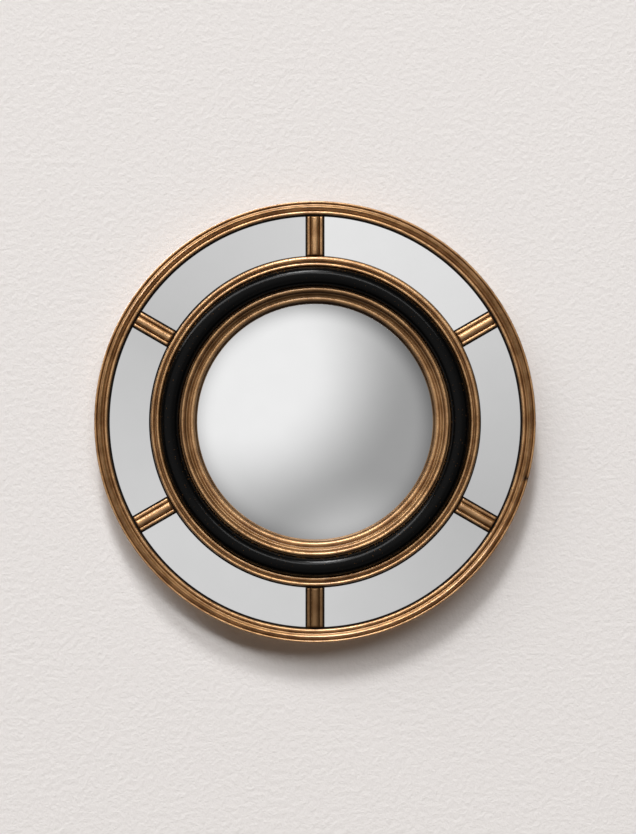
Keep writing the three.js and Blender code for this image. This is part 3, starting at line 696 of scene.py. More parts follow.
def hand_laid(angle, along):
    """Small rise and fall of a moulding laid and rubbed by hand, in millimetres."""
    return (
        0.05 * np.sin(7 * angle + 1.3)
        + 0.03 * np.sin(19 * angle + 2.1 + 0.2 * along)
        + 0.012 * np.sin(47 * angle + 0.6 * along)
        + 0.006 * np.sin(97 * angle + 4.2 + 0.9 * along)
    )


def ring_faces(first, second, count):
    """Faces between two rings of points, numbered from first and from second."""
    ahead = [(i + 1) % count for i in range(count)]
    return [(first + i, first + n, second + n, second + i) for i, n in enumerate(ahead)]


def turned(name, rows, steps, black=(), shape=None):
    """A ring turned from a closed section of radius, depth and tone rows. black is a set of
    the rows whose face up to the next row is painted black, and shape moves the points."""
    rows = list(rows)
    flags = [i in black for i in range(len(rows))]
    if section_area(rows) < 0:
        rows.reverse()
        flags = flags[-2::-1] + flags[-1:]
    count = len(rows)
    along = travelled(rows)[:, None]
    angle = (np.arange(steps) * 2 * math.pi / steps)[None, :]
    radius, depth, tone = (np.array(column)[:, None] + 0 * angle for column in zip(*rows))
    if shape:
        radius, depth, tone = shape(radius, depth, tone, angle, along)
    points = np.stack([radius * np.cos(angle), radius * np.sin(angle), depth], -1)
    flat = radius.mean() * np.array([np.cos(angle) + 0 * along, np.sin(angle) + 0 * along])
    grain = np.stack([*flat, along + 0 * angle], -1)
    faces, painted = [], []
    for i in range(count):
        faces += ring_faces(i * steps, (i + 1) % count * steps, steps)
        painted += [int(flags[i])] * steps
    points, grain = points.reshape(-1, 3), grain.reshape(-1, 3)
    return mesh_of(name, points, faces, painted, toning=tone.ravel(), grain=grain)


def disc(name, rows, steps, **attributes):
    """A turned solid whose section of radius and depth rows starts and ends on the axis. Each
    attribute is a function that gives the points' numbers from the points."""
    angle = np.arange(steps) * 2 * math.pi / steps
    points = [(0, 0, rows[0][1])]
    for radius, depth in rows[1:-1]:
        points += [(radius * math.cos(a), radius * math.sin(a), depth) for a in angle]
    points.append((0, 0, rows[-1][1]))
    last = len(points) - 1
    end = last - steps
    faces = []
    for ring in range(1, end, steps):
        faces += ring_faces(ring + steps, ring, steps)
    for j in range(steps):
        k = (j + 1) % steps
        faces += [(0, 1 + j, 1 + k), (end + j, last, end + k)]
    if rows[0][1] < rows[-1][1]:
        faces = [face[::-1] for face in faces]
    numbers = {key: value(np.array(points)) for key, value in attributes.items()}
    return mesh_of(name, points, faces, **numbers)


# ------------------------------------------------------------------ sizes that follow


def fitted(sizes):
    """Radii of the turned pieces, in millimetres, that follow from the face sizes."""
    r = SimpleNamespace()
    r.frame = sizes.frame_radius / MM
    r.outer_reed = r.frame - sizes.outer_reed / MM
    r.crown_out = r.outer_reed - sizes.groove / MM
    r.crown_in = r.crown_out - sizes.crown / MM
    r.inner_reed_out = r.crown_in - sizes.groove / MM
    r.inner_reed_in = r.inner_reed_out - sizes.inner_reed / MM
    r.frame_sight = r.inner_reed_in - sizes.fillet / MM
    r.frame_rebate = r.frame_sight + GLASS_COVER + FIT_GAP
    r.board = r.frame - FRAME_SKIRT - FIT_GAP
    r.inner_sight = r.frame_sight - sizes.bay / MM
    r.inner_rebate = r.inner_sight - GLASS_COVER - FIT_GAP
    r.wide_bead_out = r.inner_sight - sizes.fillet / MM
    r.wide_bead_in = r.wide_bead_out - sizes.wide_bead / MM
    r.thin_bead_out = r.wide_bead_in - sizes.bead_groove / MM
    r.thin_bead_in = r.thin_bead_out - sizes.thin_bead / MM
    r.ebony_out = r.thin_bead_in - FIT_GAP
    r.ebony_in = r.ebony_out - sizes.ebony / MM
    r.sight_ring = r.ebony_in - FIT_GAP
    r.flange = r.sight_ring + FLANGE_WIDTH
    r.rim_bead_out = r.sight_ring - QUIRK_WIDTH
    r.rim_bead_in = r.rim_bead_out - sizes.rim_bead / MM
    r.sight_bead_out = r.rim_bead_in - sizes.cove / MM
    r.sight_bead_in = r.sight_bead_out - sizes.sight_bead / MM
    r.dome_sight = r.sight_bead_in - sizes.sight_lip / MM
    r.dome = r.dome_sight + DOME_COVER
    rise = sizes.dome_rise / MM
    r.dome_curve = (r.dome_sight**2 + rise**2) / (2 * rise)
    r.aperture = r.dome + APERTURE_CLEARANCE
    r.plate_seat = r.aperture + PLATE_LAP
    r.plate = r.plate_seat - PLATE_EDGE_GAP
    r.bar_half = sizes.bar_centre_bead / MM / 2 + (sizes.bar_side_bead + sizes.fillet) / MM
    r.bar_half += BAR_QUIRK_WIDTH
    r.stem_half = r.bar_half - GLASS_COVER - FIT_GAP
    r.frame_screw = (r.frame_rebate + r.board) / 2
    r.bar_screw = r.frame_sight - sizes.bay / MM / 4
    r.ebony_screw = (r.ebony_out + r.flange) / 2
    r.button = r.plate + BUTTON_SETBACK
    r.hanger = r.bar_screw - HANGER_DROP
    r.pad = r.board - PAD_INSET
    return r


def apart(angle, middle):
    """Angle from the middle, from minus to plus half a turn."""
    return (angle - middle + math.pi) % (2 * math.pi) - math.pi


def gilt_frame_rows(r):
    """Section of the frame, from the sight edge outwards and back along its hidden side."""
    crown = bead((r.crown_in, REEDS_FOOT), (r.crown_out, REEDS_FOOT), CROWN_RISE, 40)
    middle, half = (r.crown_in + r.crown_out) / 2, (r.crown_out - r.crown_in) / 2
    cut_crown = []
    for radius, _, tone in crown:
        away = abs(radius - middle)
        bite = math.exp(-(((away - INCISION_OFFSET) / INCISION_HALF_WIDTH) ** 2))
        depth = REEDS_FOOT + CROWN_RISE * (1 - min(away / half, 1) ** CROWN_BOW)
        cut_crown.append((radius, depth - INCISION_DEPTH * bite, max(tone, 0.4 * bite)))
    # The grooves and the fine incisions are darker: umber wax, and painted shade in the hollows.
    groove_in = ((r.inner_reed_out + r.crown_in) / 2, REEDS_FOOT - GROOVE_DIP)
    groove_out = ((r.crown_out + r.outer_reed) / 2, REEDS_FOOT - GROOVE_DIP)
    inner = bead((r.inner_reed_in, REEDS_FOOT), (r.inner_reed_out, REEDS_FOOT), INNER_REED_RISE, 16)
    outer = bead((r.outer_reed, REEDS_FOOT), (r.frame, REEDS_FOOT), OUTER_REED_RISE, 16)
    return [
        *plain((r.frame_sight, LIP_BACK), (r.frame_sight, FILLET_FACE)),
        *plain((r.inner_reed_in, FILLET_FACE), tone=1),
        *inner,
        *plain(groove_in, tone=0.5),
        *cut_crown,
        *plain(groove_out, tone=0.75),
        *outer,
        *plain(
            (r.frame, BOARD_BACK + EDGE),
            (r.frame - EDGE, BOARD_BACK),
            (r.frame - FRAME_SKIRT, BOARD_BACK),
            (r.frame - FRAME_SKIRT, GLASS_BACK),
            (r.frame_rebate, GLASS_BACK),
            (r.frame_rebate, LIP_BACK),
        ),
    ]


def age_frame(radius, depth, tone, angle, along):
    """Hand-laid unevenness, the seam of the outer reed, and one small nick."""
    depth = depth + np.clip((depth - REEDS_FOOT) / HAND_LAID_OVER, 0, 1) * hand_laid(angle, along)
    face = depth > REEDS_FOOT - 1
    outer = np.clip((radius - (FRAME_RADIUS - SEAM_REACH)) / 0.3, 0, 1) * face
    off = apart(angle, SEAM_ANGLE)
    gap = np.exp(-((off * FRAME_RADIUS / SEAM_WIDTH) ** 2)) * outer
    below = np.where(off < 0, np.exp(off / STEP_FADE), 0) * outer
    depth = depth - SEAM_DEPTH * gap - SEAM_STEP * below
    tone = np.maximum(tone, gap)
    away = apart(angle, NICK_ANGLE) * FRAME_RADIUS / NICK_LENGTH
    across = (radius - NICK_RADIUS) / NICK_WIDTH
    nick = np.exp(-(away**2) - across**2) * (depth > REEDS_FOOT - 1)
    return radius, depth - NICK_DEPTH * nick, np.maximum(tone, nick)


def inner_gilt_rows(r):
    wide = bead((r.wide_bead_out, BEADS_FOOT), (r.wide_bead_in, BEADS_FOOT), WIDE_BEAD_RISE, 18)
    thin = bead((r.thin_bead_out, BEADS_FOOT), (r.thin_bead_in, BEADS_FOOT), THIN_BEAD_RISE, 16)
    # The groove between the beads is darker: umber wax, and painted shade in the hollow.
    floor = BEADS_FOOT - GROOVE_DIP
    groove = (r.wide_bead_in - BEAD_GROOVE_SLOPE, r.thin_bead_out + BEAD_GROOVE_SLOPE)
    return [
        *plain((r.inner_sight, LIP_BACK), (r.inner_sight, FILLET_FACE)),
        *plain((r.wide_bead_out, FILLET_FACE), tone=1),
        *wide,
        *plain((groove[0], floor), (groove[1], floor), tone=0.45),
        *thin,
        *plain((r.thin_bead_in, GLASS_BACK), (r.inner_rebate, GLASS_BACK)),
        *plain((r.inner_rebate, LIP_BACK)),
    ]


def age_ring(radius, depth, tone, angle, along):
    """Hand-laid unevenness of the face of a ring round the dome."""
    front = np.clip((depth - BEADS_FOOT) / HAND_LAID_OVER, 0, 1)
    return radius, depth + front * hand_laid(angle + 0.7, along), tone


def age_inner_ring(foot, radius, depth, tone, angle, along):
    """Hand-laid unevenness, and the wide bead's outer slope leaning out over its foot to the
    upper right."""
    radius, depth, tone = age_ring(radius, depth, tone, angle, along)
    share = np.clip((radius - foot) / LEAN_SLOPE + 1, 0, 1) * (radius < foot + 0.1)
    return radius + LEAN * share * np.clip(np.cos(angle - LEAN_ANGLE), 0, 1), depth, tone


def age_sight_ring(radius, depth, tone, angle, along):
    """Hand-laid unevenness, and painted shade darkening the upper half of the ring, where the
    ebonised ring would shade it.
    """
    radius, depth, tone = age_ring(radius, depth, tone, angle, along)
    # Painted shade: the upper half darker.
    shaded = np.clip(np.sin(angle), 0, 1) * (depth > BOARD_FACE)
    return radius, depth, np.maximum(tone, 0.45 * shaded + 0.7 * tone)


def dome_front(r, radius):
    return DOME_APEX - r.dome_curve + math.sqrt(r.dome_curve**2 - radius**2)


def dome_back(r, thickness, radius):
    return DOME_APEX - r.dome_curve + math.sqrt((r.dome_curve - thickness) ** 2 - radius**2)


def dome_silver(rim, points):
    """Share of light the dome gives back, with painted shade standing in for the ring's reflected
    shade: less near the rim, and least at the upper right.
    """
    radius, angle = np.hypot(points[:, 0], points[:, 1]), np.arctan2(points[:, 1], points[:, 0])
    near = np.clip((radius - DOME_SHADE_FROM) / (rim - DOME_SHADE_FROM), 0, 1)
    most = DOME_SHADE_LEAST + DOME_SHADE_MORE * np.clip(np.cos(angle - DOME_SHADE_ANGLE), 0, 1)
    return 1 - most * near**2 * (3 - 2 * near)


def sight_ring_rows(r):
    """Section of the ring round the dome: rim bead, worked cove, sight bead and a thin lip."""
    base = BOARD_FACE + RIM_BEAD_FOOT
    low = base - COVE_DROP
    flange = GLASS_BACK + FLANGE_THICKNESS
    seat = dome_front(r, r.dome_sight) + FIT_GAP
    rim = bead((r.rim_bead_out, base), (r.rim_bead_in, base), RIM_BEAD_RISE, 16, 0.6)
    hollow = bead((r.rim_bead_in, base), (r.sight_bead_out, low), -COVE_SAG, 32)
    reed, quirk = r.rim_bead_in - COVE_REED_OFFSET, r.rim_bead_in - COVE_QUIRK_OFFSET
    cove = []
    for radius, depth, _ in hollow[1:-1]:
        raised = math.exp(-(((radius - reed) / COVE_REED_HALF_WIDTH) ** 2))
        sunk = math.exp(-(((radius - quirk) / COVE_QUIRK_HALF_WIDTH) ** 2))
        cove.append((radius, depth + COVE_REED_RISE * (raised - sunk), 0.25 + 0.6 * sunk))
    sight = bead((r.sight_bead_out, low), (r.sight_bead_in, low), SIGHT_BEAD_RISE, 14, 0.7)
    # The lip over the dome and the cove's fine groove are darker: umber wax, and painted shade
    # where the lip meets the dome.
    return [
        *plain((r.sight_bead_in, seat + SIGHT_LIP_THICKNESS), tone=0.6),
        *plain((r.dome_sight, seat + SIGHT_LIP_THICKNESS), (r.dome_sight, seat), tone=0.6),
        *plain((r.aperture, GLASS_BACK), (r.flange, GLASS_BACK)),
        *plain((r.flange, flange), (r.sight_ring, flange), (r.sight_ring, base - QUIRK_WIDTH)),
        *plain((r.rim_bead_out, base - QUIRK_WIDTH), tone=1),
        *rim,
        *cove,
        *sight,
    ]


def ebony_rows(r):
    shoulder = BOARD_FACE + EBONY_WALL_HEIGHT
    flange = GLASS_BACK + FLANGE_THICKNESS + FIT_GAP
    rebate = r.flange + FIT_GAP
    return [
        *plain((r.ebony_out, GLASS_BACK), tone=1),
        *bead((r.ebony_out, shoulder), (r.ebony_in, shoulder), EBONY_RISE, 48, 1),
        *plain((r.ebony_in, flange), (rebate, flange), (rebate, GLASS_BACK), tone=1),
    ]


def age_ebony(radius, depth, tone, angle, along):
    front = np.clip((depth - BOARD_FACE - EBONY_WALL_HEIGHT) / 4, 0, 1)
    return radius, depth + 0.8 * front * hand_laid(angle + 2, 0.3 * along), tone


# ------------------------------------------------------------------ operators


def settings(context):
    return context.scene.mirror_sizes, fitted(context.scene.mirror_sizes)


class MIRROR_OT_gilt_rings(bpy.types.Operator):
    """Turn the gilt frame, the inner gilt ring and the sight ring"""

    bl_idname = "mirror.gilt_rings"
    bl_label = "Gilt rings"

    def execute(self, context):
        sizes, r = settings(context)
        finish = [made_once(toned_bronze_gilding_on_gesso), made_once(black_painted_sight_edge)]
        steps = sizes.ring_steps
        outer = turned("gilt_frame", gilt_frame_rows(r), steps, {0, 1, 2}, age_frame)
        as_piece("gilt_frame", outer, finish, "mirror", ["outer_ring"])
        age = partial(age_inner_ring, r.wide_bead_out)
        inner = turned("gilt_inner_ring", inner_gilt_rows(r), steps, {0, 1, 2}, age)
        as_piece("gilt_inner_ring", inner, finish, "mirror", ["inner_gilt_ring"])
        sight = turned("gilt_sight_ring", sight_ring_rows(r), steps, (), age_sight_ring)
        as_piece("gilt_sight_ring", sight, finish, "mirror", ["sight_ring"])
        return {"FINISHED"}


class MIRROR_OT_ebonised_ring(bpy.types.Operator):
    """Turn the black half round between the gilt rings"""

    bl_idname = "mirror.ebonised_ring"
    bl_label = "Ebonised ring"

    def execute(self, context):
        sizes, r = settings(context)
        mesh = turned("ebonised_half_round", ebony_rows(r), sizes.ring_steps, (), age_ebony)
        finish = [made_once(ebonised_beech_with_satin_polish)]
        as_piece("ebonised_half_round", mesh, finish, "mirror", ["ebonised_ring"])
        return {"FINISHED"}


class MIRROR_OT_domed_glass(bpy.types.Operator):
    """Slump the domed glass"""

    bl_idname = "mirror.domed_glass"
    bl_label = "Domed glass"

    def execute(self, context):
        sizes, r = settings(context)
        thickness = sizes.glass_thickness / MM
        radii = np.linspace(0, r.dome, DOME_ROWS)
        front = [(radius, dome_front(r, radius)) for radius in radii]
        back = [(radius, dome_back(r, thickness, radius)) for radius in reversed(radii)]
        # Painted shade near the dome's rim, in place of the ring's shade reflected there.
        silver = partial(dome_silver, r.dome_sight)
        mesh = disc("domed_mirror_glass", front + back, DOME_SIDES, silver=silver)
        finish = [made_once(domed_slumped_glass_silvered)]
        as_piece("domed_mirror_glass", mesh, finish, "mirror", ["convex_glass"])
        return {"FINISHED"}


def pane_rows(r):
    """Grids of one flat glass round the +X direction, one for its face and one for its back."""
    inner, outer = r.inner_rebate + FIT_GAP, r.frame_rebate - FIT_GAP
    gap = r.stem_half + FIT_GAP
    grids = []
    for depth, shrink in ((GLASS_BACK, 0), (GLASS_FACE - PANE_ARRIS, 0), (GLASS_FACE, PANE_ARRIS)):
        rows = []
        for i in range(PANE_DEEP + 1):
            radius = inner + shrink + (outer - inner - 2 * shrink) * i / PANE_DEEP
            half = math.pi / BAY_COUNT - math.asin((gap + shrink) / radius)
            for j in range(PANE_ACROSS + 1):
                turn = -half + 2 * half * j / PANE_ACROSS
                rows.append((radius * math.cos(turn), radius * math.sin(turn), depth))
        grids.append(rows)
    return grids


def grid_border(deep, across):
    """Numbers of the points round the edge of a grid, anticlockwise from its first."""
    wide = across + 1
    far = [deep * wide + j for j in range(wide)]
    return (
        [i * wide for i in range(deep)]
        + far[:-1]
        + [i * wide + across for i in range(deep, 0, -1)]
        + list(range(across, 0, -1))
    )


class MIRROR_OT_flat_glasses(bpy.types.Operator):
    """Cut the six flat glasses"""

    bl_idname = "mirror.flat_glasses"
    bl_label = "Flat glasses"

    def execute(self, context):
        _, r = settings(context)
        back, shoulder, face = pane_rows(r)
        count, wide = len(back), PANE_ACROSS + 1
        faces = []
        for i in range(PANE_DEEP):
            for j in range(PANE_ACROSS):
                a = i * wide + j
                quad = (a, a + wide, a + wide + 1, a + 1)
                faces.append(quad[::-1])
                faces.append(tuple(2 * count + p for p in quad))
        border = grid_border(PANE_DEEP, PANE_ACROSS)
        for a, b in zip(border, border[1:] + border[:1]):
            for level in (0, 1):
                low, high = level * count, (level + 1) * count
                faces.append((low + a, high + a, high + b, low + b))
        points = np.array(back + shoulder + face)
        # The points inside the shoulder's grid serve no face and are left out.
        used = np.unique([p for quad in faces for p in quad])
        place = {old: new for new, old in enumerate(used)}
        faces = [tuple(place[p] for p in quad) for quad in faces]
        points = points[used]
        turn = (used % wide) / PANE_ACROSS
        finish = [made_once(flat_float_glass_silvered)]
        for i, angle in enumerate(BAY_ANGLES):
            # Each glass's brightness and its slope across it are painted reflection.
            first, last = PANE_SILVER[i]
            name = f"flat_mirror_glass_{i + 1}"
            silver = first + (last - first) * turn
            mesh = outward(mesh_of(name, spun(points, angle), faces, silver=silver))
            as_piece(name, mesh, finish, "mirror", [f"mirror_segment_{i + 1}"])
        return {"FINISHED"}


def bar_rows(sizes, r):
    """Section of a bar as distance from its middle, depth and tone, and which rows are black."""
    centre = sizes.bar_centre_bead / MM / 2
    side_out = r.bar_half - sizes.fillet / MM
    side_in = side_out - sizes.bar_side_bead / MM
    quirk = ((side_in + centre) / 2, REEDS_FOOT - BAR_QUIRK_DEPTH)
    side = bead((side_out, REEDS_FOOT), (side_in, REEDS_FOOT), BAR_SIDE_BEAD_RISE, 14)
    middle = bead((centre, REEDS_FOOT), (-centre, REEDS_FOOT), BAR_CENTRE_BEAD_RISE, 28)
    right = [
        *plain((r.stem_half, GLASS_BACK), (r.stem_half, LIP_BACK), (r.bar_half, LIP_BACK)),
        *plain((r.bar_half, FILLET_FACE)),
        *plain((side_out, FILLET_FACE), tone=1),
        *side,
        *plain(quirk, tone=1),
    ]
    left = [(-across, depth, tone) for across, depth, tone in reversed(right)]
    rows = right + middle + left
    return rows, {2, 3, 4, len(rows) - 6, len(rows) - 5, len(rows) - 4}


class MIRROR_OT_bars(bpy.types.Operator):
    """Carve the six reeded bars between the flat glasses"""

    bl_idname = "mirror.bars"
    bl_label = "Bars"

    def execute(self, context):
        sizes, r = settings(context)
        rows, black = bar_rows(sizes, r)
        count = len(rows)
        across, depth, tone = np.array(rows).T
        along = travelled(rows)
        raised = np.clip(depth - REEDS_FOOT, 0, None)
        front = np.clip(raised / HAND_LAID_OVER, 0, 1)
        stem = (depth < LIP_BACK + 0.01) & (np.abs(across) < r.stem_half + 0.01)
        first = np.where(stem, r.inner_rebate + FIT_GAP, r.inner_sight + FIT_GAP)
        last = np.where(stem, r.frame_rebate - FIT_GAP, r.frame_sight - FIT_GAP)
        start, end = np.sqrt(first**2 - across**2), np.sqrt(last**2 - across**2)
        shares = 0.5 - 0.5 * np.cos(np.pi * np.linspace(0, 1, BAR_STEPS + 1))
        faces, painted = [], []
        for step in range(BAR_STEPS):
            faces += ring_faces((step + 1) * count, step * count, count)
            painted += [int(i in black) for i in range(count)]
        faces.append(tuple(range(count)))
        faces.append(tuple(BAR_STEPS * count + i for i in reversed(range(count))))
        painted += [0, 0]
        finish = [made_once(toned_bronze_gilding_on_gesso), made_once(black_painted_sight_edge)]
        for bar, angle in enumerate(BAR_ANGLES):
            points, grain, toning = [], [], []
            for share in shares:
                run = start + (end - start) * share
                near = np.minimum(run - start, end - run)
                drop = np.clip(1 - near / BAR_END_ROUND, 0, 1) ** 2
                up = front * hand_laid(run / 60 + bar, along) - BAR_END_DROP * raised * drop
                points.append(np.column_stack([run, across, depth + up]))
                grain.append(np.column_stack([run, 0 * run + 40 * bar, along]))
                # Bar ends are darker where the beads drop into the rings, partly umber wax and
                # partly painted shade; the lower bars also take a floor of painted shade.
                toning.append(np.maximum(tone, 0.9 * drop * (raised > 0)).clip(BAR_TONING[bar]))
            points = spun(np.concatenate(points), angle)
            numbers = {"toning": np.concatenate(toning), "grain": np.concatenate(grain)}
            name = f"reeded_bar_{bar + 1}"
            mesh = outward(mesh_of(name, points, faces, painted, **numbers))
            as_piece(name, mesh, finish, "mirror", [f"glazing_bar_{bar + 1}"])
        return {"FINISHED"}


# ------------------------------------------------------------------ back of the mirror


def carved(mesh, cutters):
    """The mesh with the closed cutter meshes taken away."""
    joined = bpy.data.meshes.new("cutters")
    work = bmesh.new()
    for cutter in cutters:
        work.from_mesh(cutter)
    work.to_mesh(joined)
    work.free()
    tool = bpy.data.objects.new("cutters", outward(joined))
    body = bpy.data.objects.new("carved", mesh)
    for item in (body, tool):
        bpy.context.scene.collection.objects.link(item)
    cut = body.modifiers.new("cut", "BOOLEAN")
    cut.operation = "DIFFERENCE"
    cut.solver = "EXACT"
    cut.use_self = True  # the two bars of a cross recess run through each other
    cut.object = tool
    result = bpy.data.meshes.new_from_object(
        body.evaluated_get(bpy.context.evaluated_depsgraph_get())
    )
    result.name = mesh.name
    for item in (body, tool):
        bpy.data.objects.remove(item)
    result.set_sharp_from_angle(angle=SHARP)
    return result


def rod(name, radius, start, end, sides=HEAD_SIDES):
    """A plain round cutter from one depth to another."""
    return disc(name, [(0, start), (radius, start), (radius, end), (0, end)], sides)


def moved(mesh, radius, angle, turn=0.0):
    """A copy of a mesh drawn at the mirror's centre, turned on its own axis and set out to a
    radius in millimetres and an angle."""
    centre = Vector((0, 0, CENTRE_UP * MM))
    place = Vector((radius * math.cos(angle), 0, radius * math.sin(angle))) * MM
    spin = Matrix.Rotation(-turn, 4, "Y")
    copy = mesh.copy()
    copy.transform(Matrix.Translation(centre + place) @ spin @ Matrix.Translation(-centre))
    return copy


def chamfered_plate(name, outline, back, face, edge):
    """A flat plate of a convex outline, with its edges broken by a small chamfer."""
    outline = np.asarray(outline, float)
    ahead, behind = np.roll(outline, -1, 0), np.roll(outline, 1, 0)
    along = ahead - behind
    along /= np.linalg.norm(along, axis=1)[:, None]
    inset = outline - np.column_stack([along[:, 1], -along[:, 0]]) * edge
    levels = [(inset, back), (outline, back + edge), (outline, face - edge), (inset, face)]
    points = np.concatenate([np.column_stack([xy, np.full(len(xy), d)]) for xy, d in levels])
    count = len(outline)
    faces = [tuple(range(count))[::-1], tuple(3 * count + i for i in range(count))]
    for level in range(3):
        faces += ring_faces(level * count, (level + 1) * count, count)
    return mesh_of(name, points, faces)


def cross_cutters(top):
    """Two tapered bars that cut a cross recess down from a screw head's top."""
    levels = ((top - 0.5, 1), (top + RECESS_DEPTH, RECESS_TAPER))
    cutters = []
    long, wide = RECESS_LENGTH / 2, RECESS_WIDTH / 2
    for across, up in ((long, wide), (wide, long)):
        corners = [
            (x * across * share, y * up * share, depth)
            for depth, share in levels
            for x, y in ((-1, -1), (1, -1), (1, 1), (-1, 1))
        ]
        faces = [(3, 2, 1, 0), (4, 5, 6, 7), *ring_faces(0, 4, 4)]
        cutters.append(mesh_of("recess", corners, faces))
    return cutters


def wood_screw():
    """A countersunk screw in the middle of the mirror, its head towards the wall."""
    head = BOARD_BACK + SCREW_SINK
    neck = head + SCREW_HEAD_HEIGHT
    rows = [
        (0, head),
        (SCREW_HEAD_RADIUS - SCREW_HEAD_EDGE, head),
        (SCREW_HEAD_RADIUS, head + SCREW_HEAD_EDGE),
        (SCREW_RADIUS, neck),
        (SCREW_RADIUS, head + SCREW_LENGTH - SCREW_POINT),
        (0, head + SCREW_LENGTH),
    ]
    return carved(disc("wood_screw", rows, HEAD_SIDES), cross_cutters(head))


def pan_screw(plate_back):
    """A round-headed screw over a plate whose wall side is at the given depth."""
    under = plate_back - FIT_GAP
    dome = [
        (PAN_HEAD_RADIUS * math.sin(turn), under - PAN_HEAD_HEIGHT * math.cos(turn) ** 0.8)
        for turn in np.linspace(0, math.pi / 2, 9)[:-1]
    ]
    rows = [
        *dome,
        (PAN_HEAD_RADIUS, under),
        (PAN_SHANK_RADIUS, under),
        (PAN_SHANK_RADIUS, BOARD_BACK + PAN_BITE - PAN_POINT),
        (0, BOARD_BACK + PAN_BITE),
    ]
    return carved(disc("pan_screw", rows, HEAD_SIDES), cross_cutters(under - PAN_HEAD_HEIGHT))


def screw_places(r):
    """Node name, radius and angle of every countersunk screw."""
    groups = (
        ("frame_screw", r.frame_screw, BAY_ANGLES),
        ("bar_screw", r.bar_screw, BAR_ANGLES),
        ("ebonised_ring_screw", r.ebony_screw, EBONY_SCREW_ANGLES),
    )
    return [
        (f"{name}_{i + 1}", radius, angle)
        for name, radius, angles in groups
        for i, angle in enumerate(angles)
    ]


class MIRROR_OT_board(bpy.types.Operator):
    """Cut the board with its countersunk holes, and the felt packing behind the dome"""

    bl_idname = "mirror.board"
    bl_label = "Board and packing"

    def execute(self, context):
        sizes, r = settings(context)
        ledge = PLATE_FACE + FIT_GAP
        rows = plain(
            (r.aperture, BOARD_FACE),
            (r.board, BOARD_FACE),
            (r.board, BOARD_BACK),
            (r.plate_seat, BOARD_BACK),
            (r.plate_seat, ledge),
            (r.aperture, ledge),
        )
        mesh = turned("fibre_board", rows, sizes.ring_steps)
        hole = SCREW_RADIUS + SINK_CLEARANCE
        neck = BOARD_BACK + SCREW_SINK + SCREW_HEAD_HEIGHT
        slope = (SCREW_HEAD_RADIUS - SCREW_RADIUS) / SCREW_HEAD_HEIGHT
        mouth, past = BOARD_BACK - OVERRUN, BOARD_FACE + OVERRUN
        wide = hole + (neck - mouth) * slope
        sink_rows = [(0, mouth), (wide, mouth), (hole, neck), (hole, past), (0, past)]
        sink = disc("sink", sink_rows, HEAD_SIDES)
        pilot_end = BOARD_BACK + PAN_BITE + SINK_CLEARANCE
        pilot = rod("pilot", PAN_SHANK_RADIUS + SINK_CLEARANCE, mouth, pilot_end, HEAD_SIDES // 2)
        cutters = [moved(sink, radius, angle) for _, radius, angle in screw_places(r)]
        cutters += [moved(pilot, r.button, angle) for angle in CORNER_ANGLES]
        cutters += [moved(pilot, r.hanger - drop, UP) for drop in STRAP_SCREW_DROPS]
        board = carved(mesh, cutters)
        as_piece("fibre_board", board, [made_once(mdf_sanded)], "mirror", ["back_board"])

        inner, back = r.dome - PACKING_WIDTH, PLATE_FACE + FIT_GAP
        thickness = sizes.glass_thickness / MM
        rows = plain(
            (inner, back),
            (r.dome, back),
            (r.dome, dome_back(r, thickness, r.dome) - FIT_GAP),
            (inner, dome_back(r, thickness, inner) - FIT_GAP),
        )
        felt = turned("felt_packing", rows, sizes.ring_steps // 3)
        finish = [made_once(wool_felt_pressed)]
        as_piece("felt_packing", felt, finish, "mirror", ["glass_packing_ring"])
        return {"FINISHED"}


class MIRROR_OT_centre_plate(bpy.types.Operator):
    """Cut the round hardboard plate that closes the back behind the dome"""

    bl_idname = "mirror.centre_plate"
    bl_label = "Centre plate"

    def execute(self, context):
        sizes, r = settings(context)
        rows = [
            (0, PLATE_BACK),
            (r.plate - EDGE, PLATE_BACK),
            (r.plate, PLATE_BACK + EDGE),
            (r.plate, PLATE_FACE),
            (0, PLATE_FACE),
        ]
        mesh = disc("hardboard_plate", rows, sizes.ring_steps)
        finish = [made_once(hardboard_pressed_smooth)]
        as_piece("hardboard_plate", mesh, finish, "mirror", ["centre_back_plate"])
        return {"FINISHED"}


class MIRROR_OT_screws(bpy.types.Operator):
    """Drive the countersunk screws and the round-headed screws"""

    bl_idname = "mirror.screws"
    bl_label = "Screws"

    def execute(self, context):
        _, r = settings(context)
        steel = [made_once(zinc_plated_steel_stamped)]
        sunk, button = wood_screw(), pan_screw(BUTTON_BACK)
        strap = pan_screw(STRAP_FACE - STRAP_THICKNESS)
        places = [(sunk, *place) for place in screw_places(r)]
        places += [
            (button, f"turn_button_screw_{i + 1}", r.button, angle)
            for i, angle in enumerate(CORNER_ANGLES)
        ]
        places += [
            (strap, f"hanger_screw_{i + 1}", r.hanger - drop, UP)
            for i, drop in enumerate(STRAP_SCREW_DROPS)
        ]
        for i, (screw, node, radius, angle) in enumerate(places):
            name = node.replace("screw", "cross_screw")
            mesh = moved(screw, radius, angle, TURN_STEP * i)
            mesh.name = name
            as_piece(name, mesh, steel, "mirror", [node])
        return {"FINISHED"}


